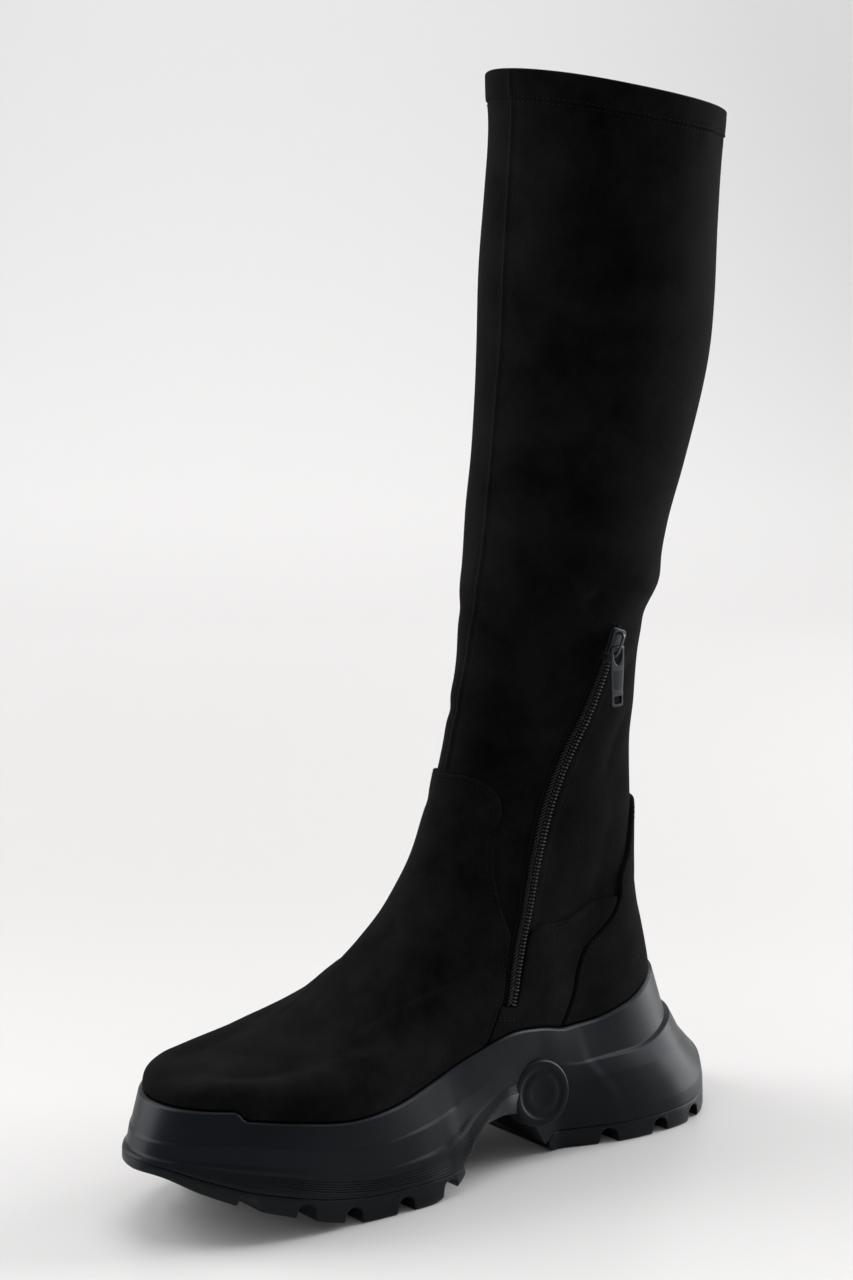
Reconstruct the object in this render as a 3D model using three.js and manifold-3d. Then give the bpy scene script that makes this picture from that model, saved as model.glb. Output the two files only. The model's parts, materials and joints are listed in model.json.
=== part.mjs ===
// Knee-high boot on a chunky moulded sole, right foot, in millimetres.
// The toe points to -Y, the medial side with the zip to +X, and the sole stands on Z = 0.
import * as THREE from 'three';
import Module from 'manifold-3d';

const wasm = await Module();
wasm.setup();

// Driving sizes of the sole
const soleLength = 290;         // toe tip to heel back, at the outsole
const forefootWidth = 104;      // widest outsole, both sides of the centre line
const heelWidth = 94;           // flared heel of the outsole
const platformHeight = 42;      // rim of the cup above the floor, at the ball
const rimRise = 24;             // how far the rim's wave climbs above the ball
const bumperRise = 3.8;         // toe bumper above the regular rim
const bumperEnd = 0.068;        // share of the last covered by the bumper
const lipThickness = 2.2;       // wall of the cup at its rim
const cupDepth = 6;             // rim of the cup down to its floor
const ribDepth = 0.7;           // fine ribs along the forefoot side
const ribCount = 4;
const grooveWidth = 7.6;        // arched tread grooves between the lugs
const grooveHeight = 6.4;
const channelWidth = 13;        // channel along the middle of the tread
const channelHeight = 4.5;
const discDiameter = 28;        // plain round boss on the medial waist
const discProud = 1.8;

// Driving sizes of the last and the shaft
const toeFlare = 12.5;          // outsole tip ahead of the upper
const heelFlare = 28.5;         // outsole heel behind the upper
const lastHalfWidth = 48;       // governs every half-width of the foot rows
const lateralFullness = 5.5;    // how much fuller the lateral waist is
const toeSwing = 4;             // toe tip moved to the medial side
const instepRise = 118;         // ball rim up to the top of the vamp
const ankleDepth = 92;          // front to back where the shaft begins
const ankleFront = 12.4;        // front of the shaft's foot, behind the sole's middle
const shaftRise = 267;          // shaft's foot up to the middle of the collar
const shaftLean = 38;           // how far the collar's middle lies behind the ankle's
const collarDepth = 99;         // front to back at the collar
const collarWidth = 93.4;       // side to side at the collar
const collarTilt = 18.5;        // front of the collar above its back

// Walls, overlays and clearances
const wall = 2;                 // upper with its lining
const clearance = 0.3;          // gap that touching pieces keep
const chordAllowance = 0.25;    // extra room where two curved walls are faceted apart
const overlayGap = 0.45;        // under an overlay, and between the edges of two of them
const vampThickness = 1.2;
const quarterThickness = 0.9;
const counterThickness = 1.5;
const hemHeight = 11.5;
const hemProud = 0.9;
const seamProud = 0.8;          // raised seam down the front of the shaft
const insoleThickness = 3.5;
const insoleTaper = 0.9;

// Sizes of the zip
const tapeWidth = 7.2;
const tapeThickness = 0.6;
const chainWidth = 6;
const chainThickness = 1.6;
const sliderLength = 12;
const sliderWidth = 8;
const sliderHeight = 2.4;
const bridgeSpan = 8;           // inside length of the arch over the slider
const bridgeWidth = 1.3;
const bridgeBar = 0.9;
const tunnelHeight = 1.9;       // room under the arch for the pull's bar
const pullLength = 24.5;
const pullWidth = 6.8;
const pullFootWidth = 6;
const pullThickness = 1.1;
const pullBar = 1.1;            // round bar at the top of the pull
const pullWindowLength = 7.2;
const pullWindowWidth = 4.6;
const pullHoleLength = 3;
const pullHoleWidth = 3.4;

// Colours of the finishes
const suedeBlack = 0x17171a;
const soleSlate = 0x2a2f33;
const zipBlack = 0x101114;
const gunmetal = 0x3a3c40;
const insoleBlack = 0x1b1b1c;

// Places that follow from the sizes
const soleToeY = -soleLength / 2;
const lastToeY = soleToeY + toeFlare;
const lastLength = soleLength - toeFlare - heelFlare;
const shaftFoot = platformHeight + instepRise + 5.5;

// Rim of the cup: share along the last, rise above the ball as a share of the wave
const rimTable = [
  { along: 0.00, rise: 0.30 },
  { along: 0.07, rise: 0.28 },
  { along: 0.15, rise: 0.15 },
  { along: 0.26, rise: 0.00 },
  { along: 0.33, rise: 0.03 },
  { along: 0.44, rise: 0.21 },
  { along: 0.53, rise: 0.43 },
  { along: 0.62, rise: 0.59 },
  { along: 0.68, rise: 0.52 },
  { along: 0.74, rise: 0.39 },
  { along: 0.80, rise: 0.38 },
  { along: 0.88, rise: 0.50 },
  { along: 0.94, rise: 0.70 },
  { along: 1.00, rise: 0.92 },
];

// Outline of the outsole: share along the sole, half-widths as shares of half the forefoot width.
// They are drawn in at both ends by the round-end function.
const outlineTable = [
  { along: 0.000, medial: 0.84, lateral: 0.96 },
  { along: 0.070, medial: 0.98, lateral: 1.02 },
  { along: 0.109, medial: 1.05, lateral: 1.05 },
  { along: 0.169, medial: 1.05, lateral: 1.03 },
  { along: 0.268, medial: 1.00, lateral: 1.03 },
  { along: 0.367, medial: 0.99, lateral: 1.01 },
  { along: 0.426, medial: 0.95, lateral: 0.98 },
  { along: 0.485, medial: 0.85, lateral: 0.91 },
  { along: 0.545, medial: 0.76, lateral: 0.85 },
  { along: 0.604, medial: 0.71, lateral: 0.81 },
  { along: 0.654, medial: 0.70, lateral: 0.80 },
];
// The heel's rows are shares of half the heel width
const heelOutlineTable = [
  { along: 0.703, medial: 0.90, lateral: 0.97 },
  { along: 0.753, medial: 1.06, lateral: 1.08 },
  { along: 0.832, medial: 1.26, lateral: 1.26 },
  { along: 0.881, medial: 1.38, lateral: 1.38 },
  { along: 0.941, medial: 1.47, lateral: 1.47 },
  { along: 1.000, medial: 1.45, lateral: 1.45 },
];

// Heights of the sole's side as shares of the platform height: two steps, the ribs' band,
// the line where midsole and outsole part, and the lower edge
const sideTable = [
  { along: 0.000, step1: 0.964, step2: 0.830, ribTop: 0.810, ribEnd: 0.790, part: 0.770, edge: 0.680 },
  { along: 0.055, step1: 0.976, step2: 0.810, ribTop: 0.765, ribEnd: 0.705, part: 0.645, edge: 0.500 },
  { along: 0.099, step1: 0.970, step2: 0.770, ribTop: 0.705, ribEnd: 0.610, part: 0.535, edge: 0.365 },
  { along: 0.154, step1: 0.905, step2: 0.685, ribTop: 0.620, ribEnd: 0.495, part: 0.430, edge: 0.233 },
  { along: 0.228, step1: 0.780, step2: 0.548, ribTop: 0.488, ribEnd: 0.345, part: 0.305, edge: 0.070 },
  { along: 0.268, step1: 0.738, step2: 0.495, ribTop: 0.436, ribEnd: 0.295, part: 0.262, edge: 0.010 },
  { along: 0.292, step1: 0.729, step2: 0.481, ribTop: 0.412, ribEnd: 0.276, part: 0.252, edge: 0.000 },
  { along: 0.381, step1: 0.757, step2: 0.500, ribTop: 0.417, ribEnd: 0.257, part: 0.243, edge: 0.000 },
  { along: 0.411, step1: 0.781, step2: 0.531, ribTop: 0.448, ribEnd: 0.262, part: 0.243, edge: 0.038 },
  { along: 0.436, step1: 0.810, step2: 0.583, ribTop: 0.512, ribEnd: 0.305, part: 0.262, edge: 0.107 },
  { along: 0.447, step1: 0.821, step2: 0.607, ribTop: 0.548, ribEnd: 0.345, part: 0.286, edge: 0.174 },
  { along: 0.458, step1: 0.845, step2: 0.643, ribTop: 0.583, ribEnd: 0.405, part: 0.317, edge: 0.310 },
  { along: 0.472, step1: 0.869, step2: 0.690, ribTop: 0.631, ribEnd: 0.488, part: 0.452, edge: 0.452 },
  { along: 0.490, step1: 0.905, step2: 0.738, ribTop: 0.690, ribEnd: 0.560, part: 0.536, edge: 0.536 },
  { along: 0.510, step1: 0.952, step2: 0.786, ribTop: 0.738, ribEnd: 0.631, part: 0.571, edge: 0.571 },
  { along: 0.535, step1: 1.000, step2: 0.845, ribTop: 0.786, ribEnd: 0.702, part: 0.571, edge: 0.571 },
  { along: 0.560, step1: 1.024, step2: 0.881, ribTop: 0.821, ribEnd: 0.738, part: 0.548, edge: 0.548 },
  { along: 0.584, step1: 1.012, step2: 0.869, ribTop: 0.810, ribEnd: 0.714, part: 0.483, edge: 0.483 },
  { along: 0.604, step1: 0.988, step2: 0.833, ribTop: 0.750, ribEnd: 0.619, part: 0.376, edge: 0.376 },
  { along: 0.619, step1: 0.964, step2: 0.798, ribTop: 0.702, ribEnd: 0.524, part: 0.226, edge: 0.226 },
  { along: 0.632, step1: 0.940, step2: 0.774, ribTop: 0.667, ribEnd: 0.452, part: 0.107, edge: 0.107 },
  { along: 0.649, step1: 0.924, step2: 0.750, ribTop: 0.619, ribEnd: 0.405, part: 0.202, edge: 0.000 },
  { along: 0.703, step1: 0.857, step2: 0.690, ribTop: 0.524, ribEnd: 0.333, part: 0.202, edge: 0.000 },
  { along: 0.802, step1: 0.857, step2: 0.690, ribTop: 0.512, ribEnd: 0.321, part: 0.202, edge: 0.000 },
  { along: 0.901, step1: 0.990, step2: 0.738, ribTop: 0.548, ribEnd: 0.345, part: 0.214, edge: 0.000 },
  { along: 0.951, step1: 1.050, step2: 0.786, ribTop: 0.619, ribEnd: 0.440, part: 0.321, edge: 0.019 },
  { along: 1.000, step1: 1.090, step2: 0.833, ribTop: 0.690, ribEnd: 0.548, part: 0.452, edge: 0.071 },
];

// How far the side has flared from the rim's outline (0) to the outsole's (1): above each step,
// the width of the step itself, and at the ribs; ribs is their depth as a share
const flareTable = [
  { along: 0.000, above1: 0.45, width1: 0.15, above2: 0.70, width2: 0.20, ribTop: 0.92, ribs: 0.0 },
  { along: 0.129, above1: 0.40, width1: 0.20, above2: 0.66, width2: 0.24, ribTop: 0.93, ribs: 0.4 },
  { along: 0.258, above1: 0.30, width1: 0.25, above2: 0.60, width2: 0.30, ribTop: 0.94, ribs: 1.0 },
  { along: 0.426, above1: 0.25, width1: 0.15, above2: 0.55, width2: 0.20, ribTop: 0.85, ribs: 1.0 },
  { along: 0.525, above1: 0.25, width1: 0.02, above2: 0.45, width2: 0.02, ribTop: 0.55, ribs: 0.7 },
  { along: 0.584, above1: 0.20, width1: 0.00, above2: 0.45, width2: 0.00, ribTop: 0.60, ribs: 0.0 },
  { along: 0.664, above1: 0.22, width1: 0.04, above2: 0.50, width2: 0.00, ribTop: 0.75, ribs: 0.0 },
  { along: 0.762, above1: 0.23, width1: 0.12, above2: 0.58, width2: 0.00, ribTop: 0.78, ribs: 0.0 },
  { along: 1.000, above1: 0.23, width1: 0.14, above2: 0.54, width2: 0.00, ribTop: 0.74, ribs: 0.0 },
];

// Rows of the foot, from the cup's floor to the top of the vamp. front and back are shares of the
// last's length, up is the height above the ball's rim as a share of the instep rise, wave says how
// much of the rim's wave is left, full how much of the lateral fullness, and w0 to w4 are
// half-widths at the toe, ball, waist, heel breast and heel as shares of the last's half-width.
const footTable = [
  { front: 0.000, frontUp: 0.093, back: 1.000, backUp: 0.205, wave: 1.00, full: 1.0,
    w0: 1.04, w1: 1.00, w2: 0.73, w3: 0.69, w4: 0.96 },
  { front: 0.006, frontUp: 0.148, back: 0.991, backUp: 0.288, wave: 0.85, full: 1.0,
    w0: 1.02, w1: 1.00, w2: 0.75, w3: 0.70, w4: 0.98 },
  { front: 0.032, frontUp: 0.163, back: 0.982, backUp: 0.373, wave: 0.62, full: 0.9,
    w0: 0.97, w1: 0.88, w2: 0.72, w3: 0.695, w4: 0.98 },
  { front: 0.088, frontUp: 0.166, back: 0.972, backUp: 0.449, wave: 0.45, full: 0.75,
    w0: 0.97, w1: 0.70, w2: 0.665, w3: 0.685, w4: 0.98 },
  { front: 0.153, frontUp: 0.172, back: 0.965, backUp: 0.525, wave: 0.35, full: 0.6,
    w0: 0.92, w1: 0.60, w2: 0.64, w3: 0.675, w4: 0.96 },
  { front: 0.281, frontUp: 0.208, back: 0.961, backUp: 0.593, wave: 0.25, full: 0.45,
    w0: 0.76, w1: 0.59, w2: 0.63, w3: 0.655, w4: 0.94 },
  { front: 0.355, frontUp: 0.262, back: 0.960, backUp: 0.657, wave: 0.18, full: 0.3,
    w0: 0.75, w1: 0.61, w2: 0.62, w3: 0.645, w4: 0.90 },
  { front: 0.415, frontUp: 0.340, back: 0.960, backUp: 0.716, wave: 0.12, full: 0.2,
    w0: 0.74, w1: 0.635, w2: 0.62, w3: 0.645, w4: 0.86 },
  { front: 0.463, frontUp: 0.430, back: 0.960, backUp: 0.775, wave: 0.08, full: 0.1,
    w0: 0.70, w1: 0.64, w2: 0.62, w3: 0.64, w4: 0.83 },
  { front: 0.502, frontUp: 0.540, back: 0.960, backUp: 0.831, wave: 0.05, full: 0.05,
    w0: 0.66, w1: 0.64, w2: 0.62, w3: 0.635, w4: 0.79 },
  { front: 0.533, frontUp: 0.645, back: 0.959, backUp: 0.890, wave: 0.02, full: 0,
    w0: 0.64, w1: 0.65, w2: 0.62, w3: 0.63, w4: 0.76 },
  { front: 0.556, frontUp: 0.775, back: 0.958, backUp: 0.966, wave: 0, full: 0,
    w0: 0.58, w1: 0.64, w2: 0.615, w3: 0.625, w4: 0.72 },
  { front: 0.573, frontUp: 0.907, back: 0.957, backUp: 1.034, wave: 0, full: 0,
    w0: 0.53, w1: 0.62, w2: 0.61, w3: 0.62, w4: 0.69 },
];

// Rows of the shaft, from the ankle to the collar: up is a share of the shaft's rise, lean of its
// lean, depth and the widths of the collar's, tilt of the collar's tilt
const shaftTable = [
  { up: 0.000, lean: 0.020, depth: 0.945, tilt: -0.49, w0: 0.52, w2: 0.620, w4: 0.68 },
  { up: 0.045, lean: 0.078, depth: 0.926, tilt: -0.36, w0: 0.50, w2: 0.620, w4: 0.68 },
  { up: 0.095, lean: 0.140, depth: 0.892, tilt: -0.22, w0: 0.50, w2: 0.640, w4: 0.68 },
  { up: 0.145, lean: 0.210, depth: 0.868, tilt: -0.13, w0: 0.55, w2: 0.670, w4: 0.70 },
  { up: 0.190, lean: 0.285, depth: 0.866, tilt: -0.04, w0: 0.64, w2: 0.715, w4: 0.73 },
  { up: 0.240, lean: 0.370, depth: 0.876, tilt: 0.04, w0: 0.74, w2: 0.770, w4: 0.775 },
  { up: 0.295, lean: 0.445, depth: 0.878, tilt: 0.13, w0: 0.81, w2: 0.820, w4: 0.825 },
  { up: 0.360, lean: 0.525, depth: 0.886, tilt: 0.22, w0: 0.86, w2: 0.865, w4: 0.87 },
  { up: 0.440, lean: 0.660, depth: 0.934, tilt: 0.31, w0: 0.87, w2: 0.885, w4: 0.91 },
  { up: 0.520, lean: 0.770, depth: 0.978, tilt: 0.40, w0: 0.91, w2: 0.920, w4: 0.94 },
  { up: 0.610, lean: 0.860, depth: 0.998, tilt: 0.50, w0: 0.98, w2: 0.975, w4: 0.98 },
  { up: 0.710, lean: 0.910, depth: 1.006, tilt: 0.64, w0: 1.00, w2: 0.995, w4: 1.00 },
  { up: 0.830, lean: 0.965, depth: 1.002, tilt: 0.79, w0: 0.97, w2: 0.980, w4: 0.98 },
  { up: 0.920, lean: 1.000, depth: 1.000, tilt: 0.90, w0: 0.95, w2: 0.970, w4: 0.98 },
  { up: 1.000, lean: 1.010, depth: 1.016, tilt: 1.00, w0: 0.98, w2: 1.000, w4: 1.02 },
];

// Edge of the vamp from its top at the front down to the waist: shares of the last's length and
// heights above the ball's rim as shares of the instep rise
const vampEdge = [
  { along: 0.500, up: 1.003 },
  { along: 0.596, up: 0.999 },
  { along: 0.613, up: 0.984 },
  { along: 0.628, up: 0.950 },
  { along: 0.634, up: 0.913 },
  { along: 0.633, up: 0.876 },
  { along: 0.625, up: 0.829 },
  { along: 0.617, up: 0.769 },
  { along: 0.610, up: 0.692 },
  { along: 0.608, up: 0.611 },
  { along: 0.611, up: 0.546 },
];
// Its seam below the zip on the medial side, and the whole seam on the lateral side
const medialSeam = [
  { along: 0.581, up: 0.223 },
  { along: 0.562, up: 0.135 },
  { along: 0.540, up: 0.010 },
];
const lateralSeam = [
  { along: 0.609, up: 0.450 },
  { along: 0.597, up: 0.320 },
  { along: 0.581, up: 0.210 },
  { along: 0.562, up: 0.120 },
  { along: 0.540, up: 0.010 },
];
// Top of the quarters, from the waist to the counter
const quarterTop = [
  { along: 0.688, up: 0.469 },
  { along: 0.735, up: 0.464 },
  { along: 0.804, up: 0.502 },
];
// Edge of the counter, from the back of the ankle down to the sole
const counterEdge = [
  { along: 0.960, up: 0.826 },
  { along: 0.938, up: 0.822 },
  { along: 0.924, up: 0.785 },
  { along: 0.914, up: 0.725 },
  { along: 0.899, up: 0.637 },
  { along: 0.877, up: 0.560 },
  { along: 0.874, up: 0.500 },
  { along: 0.861, up: 0.447 },
  { along: 0.828, up: 0.396 },
  { along: 0.789, up: 0.339 },
  { along: 0.772, up: 0.270 },
  { along: 0.761, up: 0.187 },
  { along: 0.741, up: 0.112 },
  { along: 0.715, up: 0.010 },
];
// Middle of the zip: share of its length, place along the last and height
const zipTable = [
  { along: 0.000, back: 0.606, up: 0.227 },
  { along: 0.210, back: 0.650, up: 0.494 },
  { along: 0.420, back: 0.681, up: 0.758 },
  { along: 0.510, back: 0.701, up: 0.879 },
  { along: 0.610, back: 0.727, up: 0.991 },
  { along: 0.700, back: 0.755, up: 1.096 },
  { along: 0.785, back: 0.781, up: 1.193 },
  { along: 0.910, back: 0.812, up: 1.350 },
  { along: 1.000, back: 0.831, up: 1.461 },
];
const sliderAt = 0.975;         // share of the zip at the middle of the slider
const chainEnd = 0.928;
const quarterZipEnd = 0.19;     // share of the zip where the quarter's top meets it
const vampZipEnd = 0.17;        // and where the vamp's edge meets it

// Tread grooves across the sole: place along the sole and height as a share of the groove height
const grooveTable = [
  { along: 0.104, height: 0.70 },
  { along: 0.180, height: 1.00 },
  { along: 0.254, height: 1.00 },
  { along: 0.338, height: 1.00 },
  { along: 0.417, height: 0.95 },
  { along: 0.733, height: 1.00 },
  { along: 0.821, height: 1.00 },
  { along: 0.897, height: 1.00 },
];
const forefootOutsoleEnd = 0.447;
const heelOutsoleStart = 0.640;
const channelForefoot = { from: 0.14, to: 0.42 };
const channelHeel = { from: 0.68, to: 0.93 };

// Smooth curve through the rows of a table, for one column
function through(table, column, at) {
  const last = table.length - 1;
  if (at <= table[0].along) return table[0][column];
  if (at >= table[last].along) return table[last][column];
  let k = 0;
  while (table[k + 1].along < at) k += 1;
  const slope = (i) => {
    if (i === 0 || i === last) return 0;
    const before = (table[i][column] - table[i - 1][column]) / (table[i].along - table[i - 1].along);
    const after = (table[i + 1][column] - table[i][column]) / (table[i + 1].along - table[i].along);
    return before * after <= 0 ? 0 : (2 * before * after) / (before + after);
  };
  const span = table[k + 1].along - table[k].along;
  const t = (at - table[k].along) / span;
  const a = table[k][column];
  const b = table[k + 1][column];
  return (2 * t ** 3 - 3 * t ** 2 + 1) * a + (t ** 3 - 2 * t ** 2 + t) * span * slope(k)
    + (3 * t ** 2 - 2 * t ** 3) * b + (t ** 3 - t ** 2) * span * slope(k + 1);
}

const mix = (a, b, t) => a + (b - a) * t;
const clamp01 = (t) => Math.min(1, Math.max(0, t));
const smooth = (t) => clamp01(t) ** 2 * (3 - 2 * clamp01(t));

// Round ends: 0 at both ends of a length and 1 in its middle
const endExponent = 2.2;
const roundEnd = (s, exponent) => (1 - Math.abs(2 * s - 1) ** exponent) ** (1 / exponent);

// The last's centre line bends to the medial side towards the toe
const bendEndY = lastToeY + 0.46 * lastLength;
const bend = (y) => toeSwing * clamp01((bendEndY - y) / (bendEndY - lastToeY)) ** 2;

// Height of the cup's rim, without and with the toe bumper
const regularRim = (s) => platformHeight + rimRise * through(rimTable, 'rise', s);
const bumperFade = 0.016;
const rimHeight = (s) => regularRim(s) + bumperRise * smooth((bumperEnd + bumperFade - s) / bumperFade);

// Shares along a half loop, closer together at the round ends
const cosineShares = (count) => Array.from({ length: count + 1 }, (_, i) => (1 - Math.cos((Math.PI * i) / count)) / 2);

// Columns of the upper; one more beside the front seam carries its raised edge
const upperShares = cosineShares(16);
const seamShare = 0.0009;
upperShares.splice(1, 0, seamShare);

// The cup's floor, straight from column to column so that the upper's lower edge lies on it
function floorHeight(s) {
  let k = 0;
  while (k < upperShares.length - 2 && upperShares[k + 1] < s) k += 1;
  const t = (s - upperShares[k]) / (upperShares[k + 1] - upperShares[k]);
  return mix(regularRim(upperShares[k]), regularRim(upperShares[k + 1]), t) - cupDepth;
}

// One row of the upper: front and back points, five half-widths and the rim's wave
function footRow(row) {
  return {
    frontY: lastToeY + row.front * lastLength,
    frontZ: platformHeight + row.frontUp * instepRise,
    backY: lastToeY + row.back * lastLength,
    backZ: platformHeight + row.backUp * instepRise,
    wave: row.wave,
    widths: [row.w0, row.w1, row.w2, row.w3, row.w4].map((w) => w * lastHalfWidth),
    fullness: row.full * lateralFullness,
  };
}

function shaftRow(row) {
  const middleY = ankleFront + ankleDepth / 2 + row.lean * shaftLean;
  const depth = row.depth * mix(ankleDepth / 0.93, collarDepth, row.up);
  const middleZ = shaftFoot + row.up * shaftRise;
  const halfWidth = collarWidth / 2;
  return {
    frontY: middleY - depth / 2,
    frontZ: middleZ + (row.tilt * collarTilt) / 2,
    backY: middleY + depth / 2,
    backZ: middleZ - (row.tilt * collarTilt) / 2,
    wave: 0,
    widths: [row.w0, (row.w0 + row.w2) / 2, row.w2, (row.w2 + row.w4) / 2, row.w4].map((w) => w * halfWidth),
    fullness: 0,
  };
}

// The cup's floor and its rim share the first row's outline
const floorRow = { ...footRow(footTable[0]), level: 'floor' };
const rimRow = { ...footRow(footTable[0]), level: 'rim' };
const upperRows = [floorRow, rimRow, ...footTable.slice(1).map(footRow), ...shaftTable.map(shaftRow)];

const widthStations = [0, 0.25, 0.5, 0.75, 1];
const lateralShare = [0, 0.1, 1, 0.4, 0];

// Half-width of a row at a share of its length
function rowHalfWidth(row, s, side) {
  const stations = widthStations.map((along, i) => ({
    along,
    half: row.widths[i] + (side < 0 ? row.fullness * lateralShare[i] : 0),
  }));
  return through(stations, 'half', s) * roundEnd(s, mix(endExponent, 2, clamp01(1 - row.wave)));
}

// Point of a row at share s of its length, on the side given by its sign
function rowPoint(row, s, side) {
  const y = mix(row.frontY, row.backY, s);
  const x = bend(y) + side * rowHalfWidth(row, s, side);
  const lastShare = (y - lastToeY) / lastLength;
  let z = mix(row.frontZ, row.backZ, s);
  if (row.level === 'floor') z = floorHeight(lastShare);
  else if (row.level === 'rim') z = rimHeight(lastShare) + clearance;
  else if (row.wave > 0) {
    const straight = mix(regularRim(0), regularRim(1), s);
    z += row.wave * (regularRim(lastShare) - straight);
  }
  return new THREE.Vector3(x, y, z);
}

// Loop of points: front end, medial side, back end, lateral side
function loopOf(shares, point) {
  const medial = shares.map((s) => point(s, 1));
  const lateral = shares.slice(1, -1).reverse().map((s) => point(s, -1));
  return [...medial, ...lateral];
}

const upperLoops = upperRows.map((row) => loopOf(upperShares, (s, side) => rowPoint(row, s, side)));

// Outward normals of a stack of loops
function loopNormals(loops) {
  const count = loops[0].length;
  return loops.map((loop, k) => loop.map((_, j) => {
    const ahead = loop[(j + 1) % count];
    const behind = loop[(j - 1 + count) % count];
    const above = loops[Math.min(k + 1, loops.length - 1)][j];
    const below = loops[Math.max(k - 1, 0)][j];
    const around = ahead.clone().sub(behind);
    const up = above.clone().sub(below);
    return around.cross(up).normalize();
  }));
}

const upperNormals = loopNormals(upperLoops);
const offsetLoop = (k, distance) => upperLoops[k].map((p, j) => p.clone().addScaledVector(upperNormals[k][j], distance));

// Plan outline of a loop moved outwards level with the floor
function offsetInPlan(loop, distance) {
  const count = loop.length;
  return loop.map((p, j) => {
    const ahead = loop[(j + 1) % count];
    const behind = loop[(j - 1 + count) % count];
    const across = new THREE.Vector3(ahead.y - behind.y, behind.x - ahead.x, 0).normalize();
    return p.clone().addScaledVector(across, distance);
  });
}

// Closed solid from a stack of loops; a tube closes on its first loop, any other gets two caps.
// Bands from the turn on are split along the other diagonal, so that both faces of a shell match.
function loopSolid(loops, tube = false, turn = loops.length) {
  const count = loops[0].length;
  const positions = loops.flatMap((loop) => loop.flatMap((p) => [p.x, p.y, p.z]));
  const index = [];
  const bands = tube ? loops.length : loops.length - 1;
  for (let k = 0; k < bands; k += 1) {
    const low = k * count;
    const high = ((k + 1) % loops.length) * count;
    for (let j = 0; j < count; j += 1) {
      const next = (j + 1) % count;
      if (k < turn) index.push(low + j, low + next, high + next, low + j, high + next, high + j);
      else index.push(low + j, low + next, high + j, low + next, high + next, high + j);
    }
  }
  if (!tube) {
    capLoop(index, 0, count, true);
    capLoop(index, (loops.length - 1) * count, count, false);
  }
  return solidFrom(positions, index);
}

// Cap across a loop that starts at its tip: strips join each medial point to its lateral one
function capLoop(index, start, count, downward) {
  const push = (a, b, c) => (downward ? index.push(start + a, start + c, start + b) : index.push(start + a, start + b, start + c));
  for (let i = 0; i < Math.floor(count / 2); i += 1) {
    const far = (count - i) % count;
    const near = count - i - 1;
    if (i + 1 !== near) push(i, i + 1, near);
    if (far !== i) push(i, near, far);
  }
}

function solidFrom(positions, index) {
  let volume = 0;
  const at = (i) => new THREE.Vector3(positions[3 * i], positions[3 * i + 1], positions[3 * i + 2]);
  for (let i = 0; i < index.length; i += 3) volume += at(index[i]).dot(at(index[i + 1]).cross(at(index[i + 2])));
  if (volume < 0) for (let i = 0; i < index.length; i += 3) [index[i], index[i + 1]] = [index[i + 1], index[i]];
  return new wasm.Manifold(new wasm.Mesh({
    numProp: 3,
    vertProperties: new Float32Array(positions),
    triVerts: new Uint32Array(index),
  }));
}

// Solid from a closed three.js geometry
function solidFromGeometry(geometry) {
  const corner = new Map();
  const positions = [];
  const attribute = geometry.getAttribute('position');
  const remap = [];
  for (let i = 0; i < attribute.count; i += 1) {
    const p = [attribute.getX(i), attribute.getY(i), attribute.getZ(i)];
    const key = p.map((c) => Math.round(c * 1e4)).join(' ');
    if (!corner.has(key)) {
      corner.set(key, positions.length / 3);
      positions.push(...p);
    }
    remap.push(corner.get(key));
  }
  const source = geometry.index ? Array.from(geometry.index.array) : remap.map((_, i) => i);
  const index = [];
  for (let i = 0; i < source.length; i += 3) {
    const [a, b, c] = [remap[source[i]], remap[source[i + 1]], remap[source[i + 2]]];
    if (a !== b && b !== c && a !== c) index.push(a, b, c);
  }
  return solidFrom(positions, index);
}

// Prism along X with an outline in the Y-Z plane
function sidePrism(outline, fromX, toX) {
  const shape = new THREE.Shape(outline.map(([y, z]) => new THREE.Vector2(y, z)));
  const geometry = new THREE.ExtrudeGeometry(shape, { depth: toX - fromX, bevelEnabled: false });
  geometry.applyMatrix4(new THREE.Matrix4().makeBasis(
    new THREE.Vector3(0, 1, 0), new THREE.Vector3(0, 0, 1), new THREE.Vector3(1, 0, 0),
  ));
  geometry.translate(fromX, 0, 0);
  return solidFromGeometry(geometry);
}

// Upper

function upperSolid() {
  const top = upperRows.length - 1;
  const seamStart = 2 + footTable.length;
  const hemShare = hemHeight / (upperRows[top].frontZ - upperRows[top - 1].frontZ);
  const raiseSeam = (loop, k) => {
    if (k < seamStart) return loop;
    loop[0].addScaledVector(upperNormals[k][0], seamProud);
    return loop;
  };
  const between = (distance, share) => {
    const low = offsetLoop(top - 1, distance);
    const high = offsetLoop(top, distance);
    return low.map((p, j) => p.clone().lerp(high[j], share));
  };
  const hemStep = 0.02;
  const outer = upperLoops.slice(0, top).map((_, k) => raiseSeam(offsetLoop(k, 0), k));
  outer.push(between(0, 1 - hemShare - hemStep));
  outer.push(between(hemProud, 1 - hemShare));
  outer.push(between(hemProud, 1 - hemStep));
  const collar = between(-wall / 2, 1);
  const innerRows = upperRows.map((_, k) => k).filter((k) => k < top && (k % 2 === 0 || k === 1));
  const inner = innerRows.map((k) => offsetLoop(k, -wall)).reverse();
  inner.unshift(between(-wall, 1 - hemStep));
  return loopSolid([...outer, collar, ...inner], true);
}

// Sole

const soleSharesBase = cosineShares(24);
const waistSpan = { from: 0.37, to: 0.66, steps: 16 };
const waistShares = Array.from({ length: waistSpan.steps + 1 },
  (_, i) => mix(waistSpan.from, waistSpan.to, i / waistSpan.steps));
const soleShares = [
  ...soleSharesBase.filter((s) => s < waistSpan.from - 0.012 || s > waistSpan.to + 0.012),
  ...waistShares,
].sort((a, b) => a - b);

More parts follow.
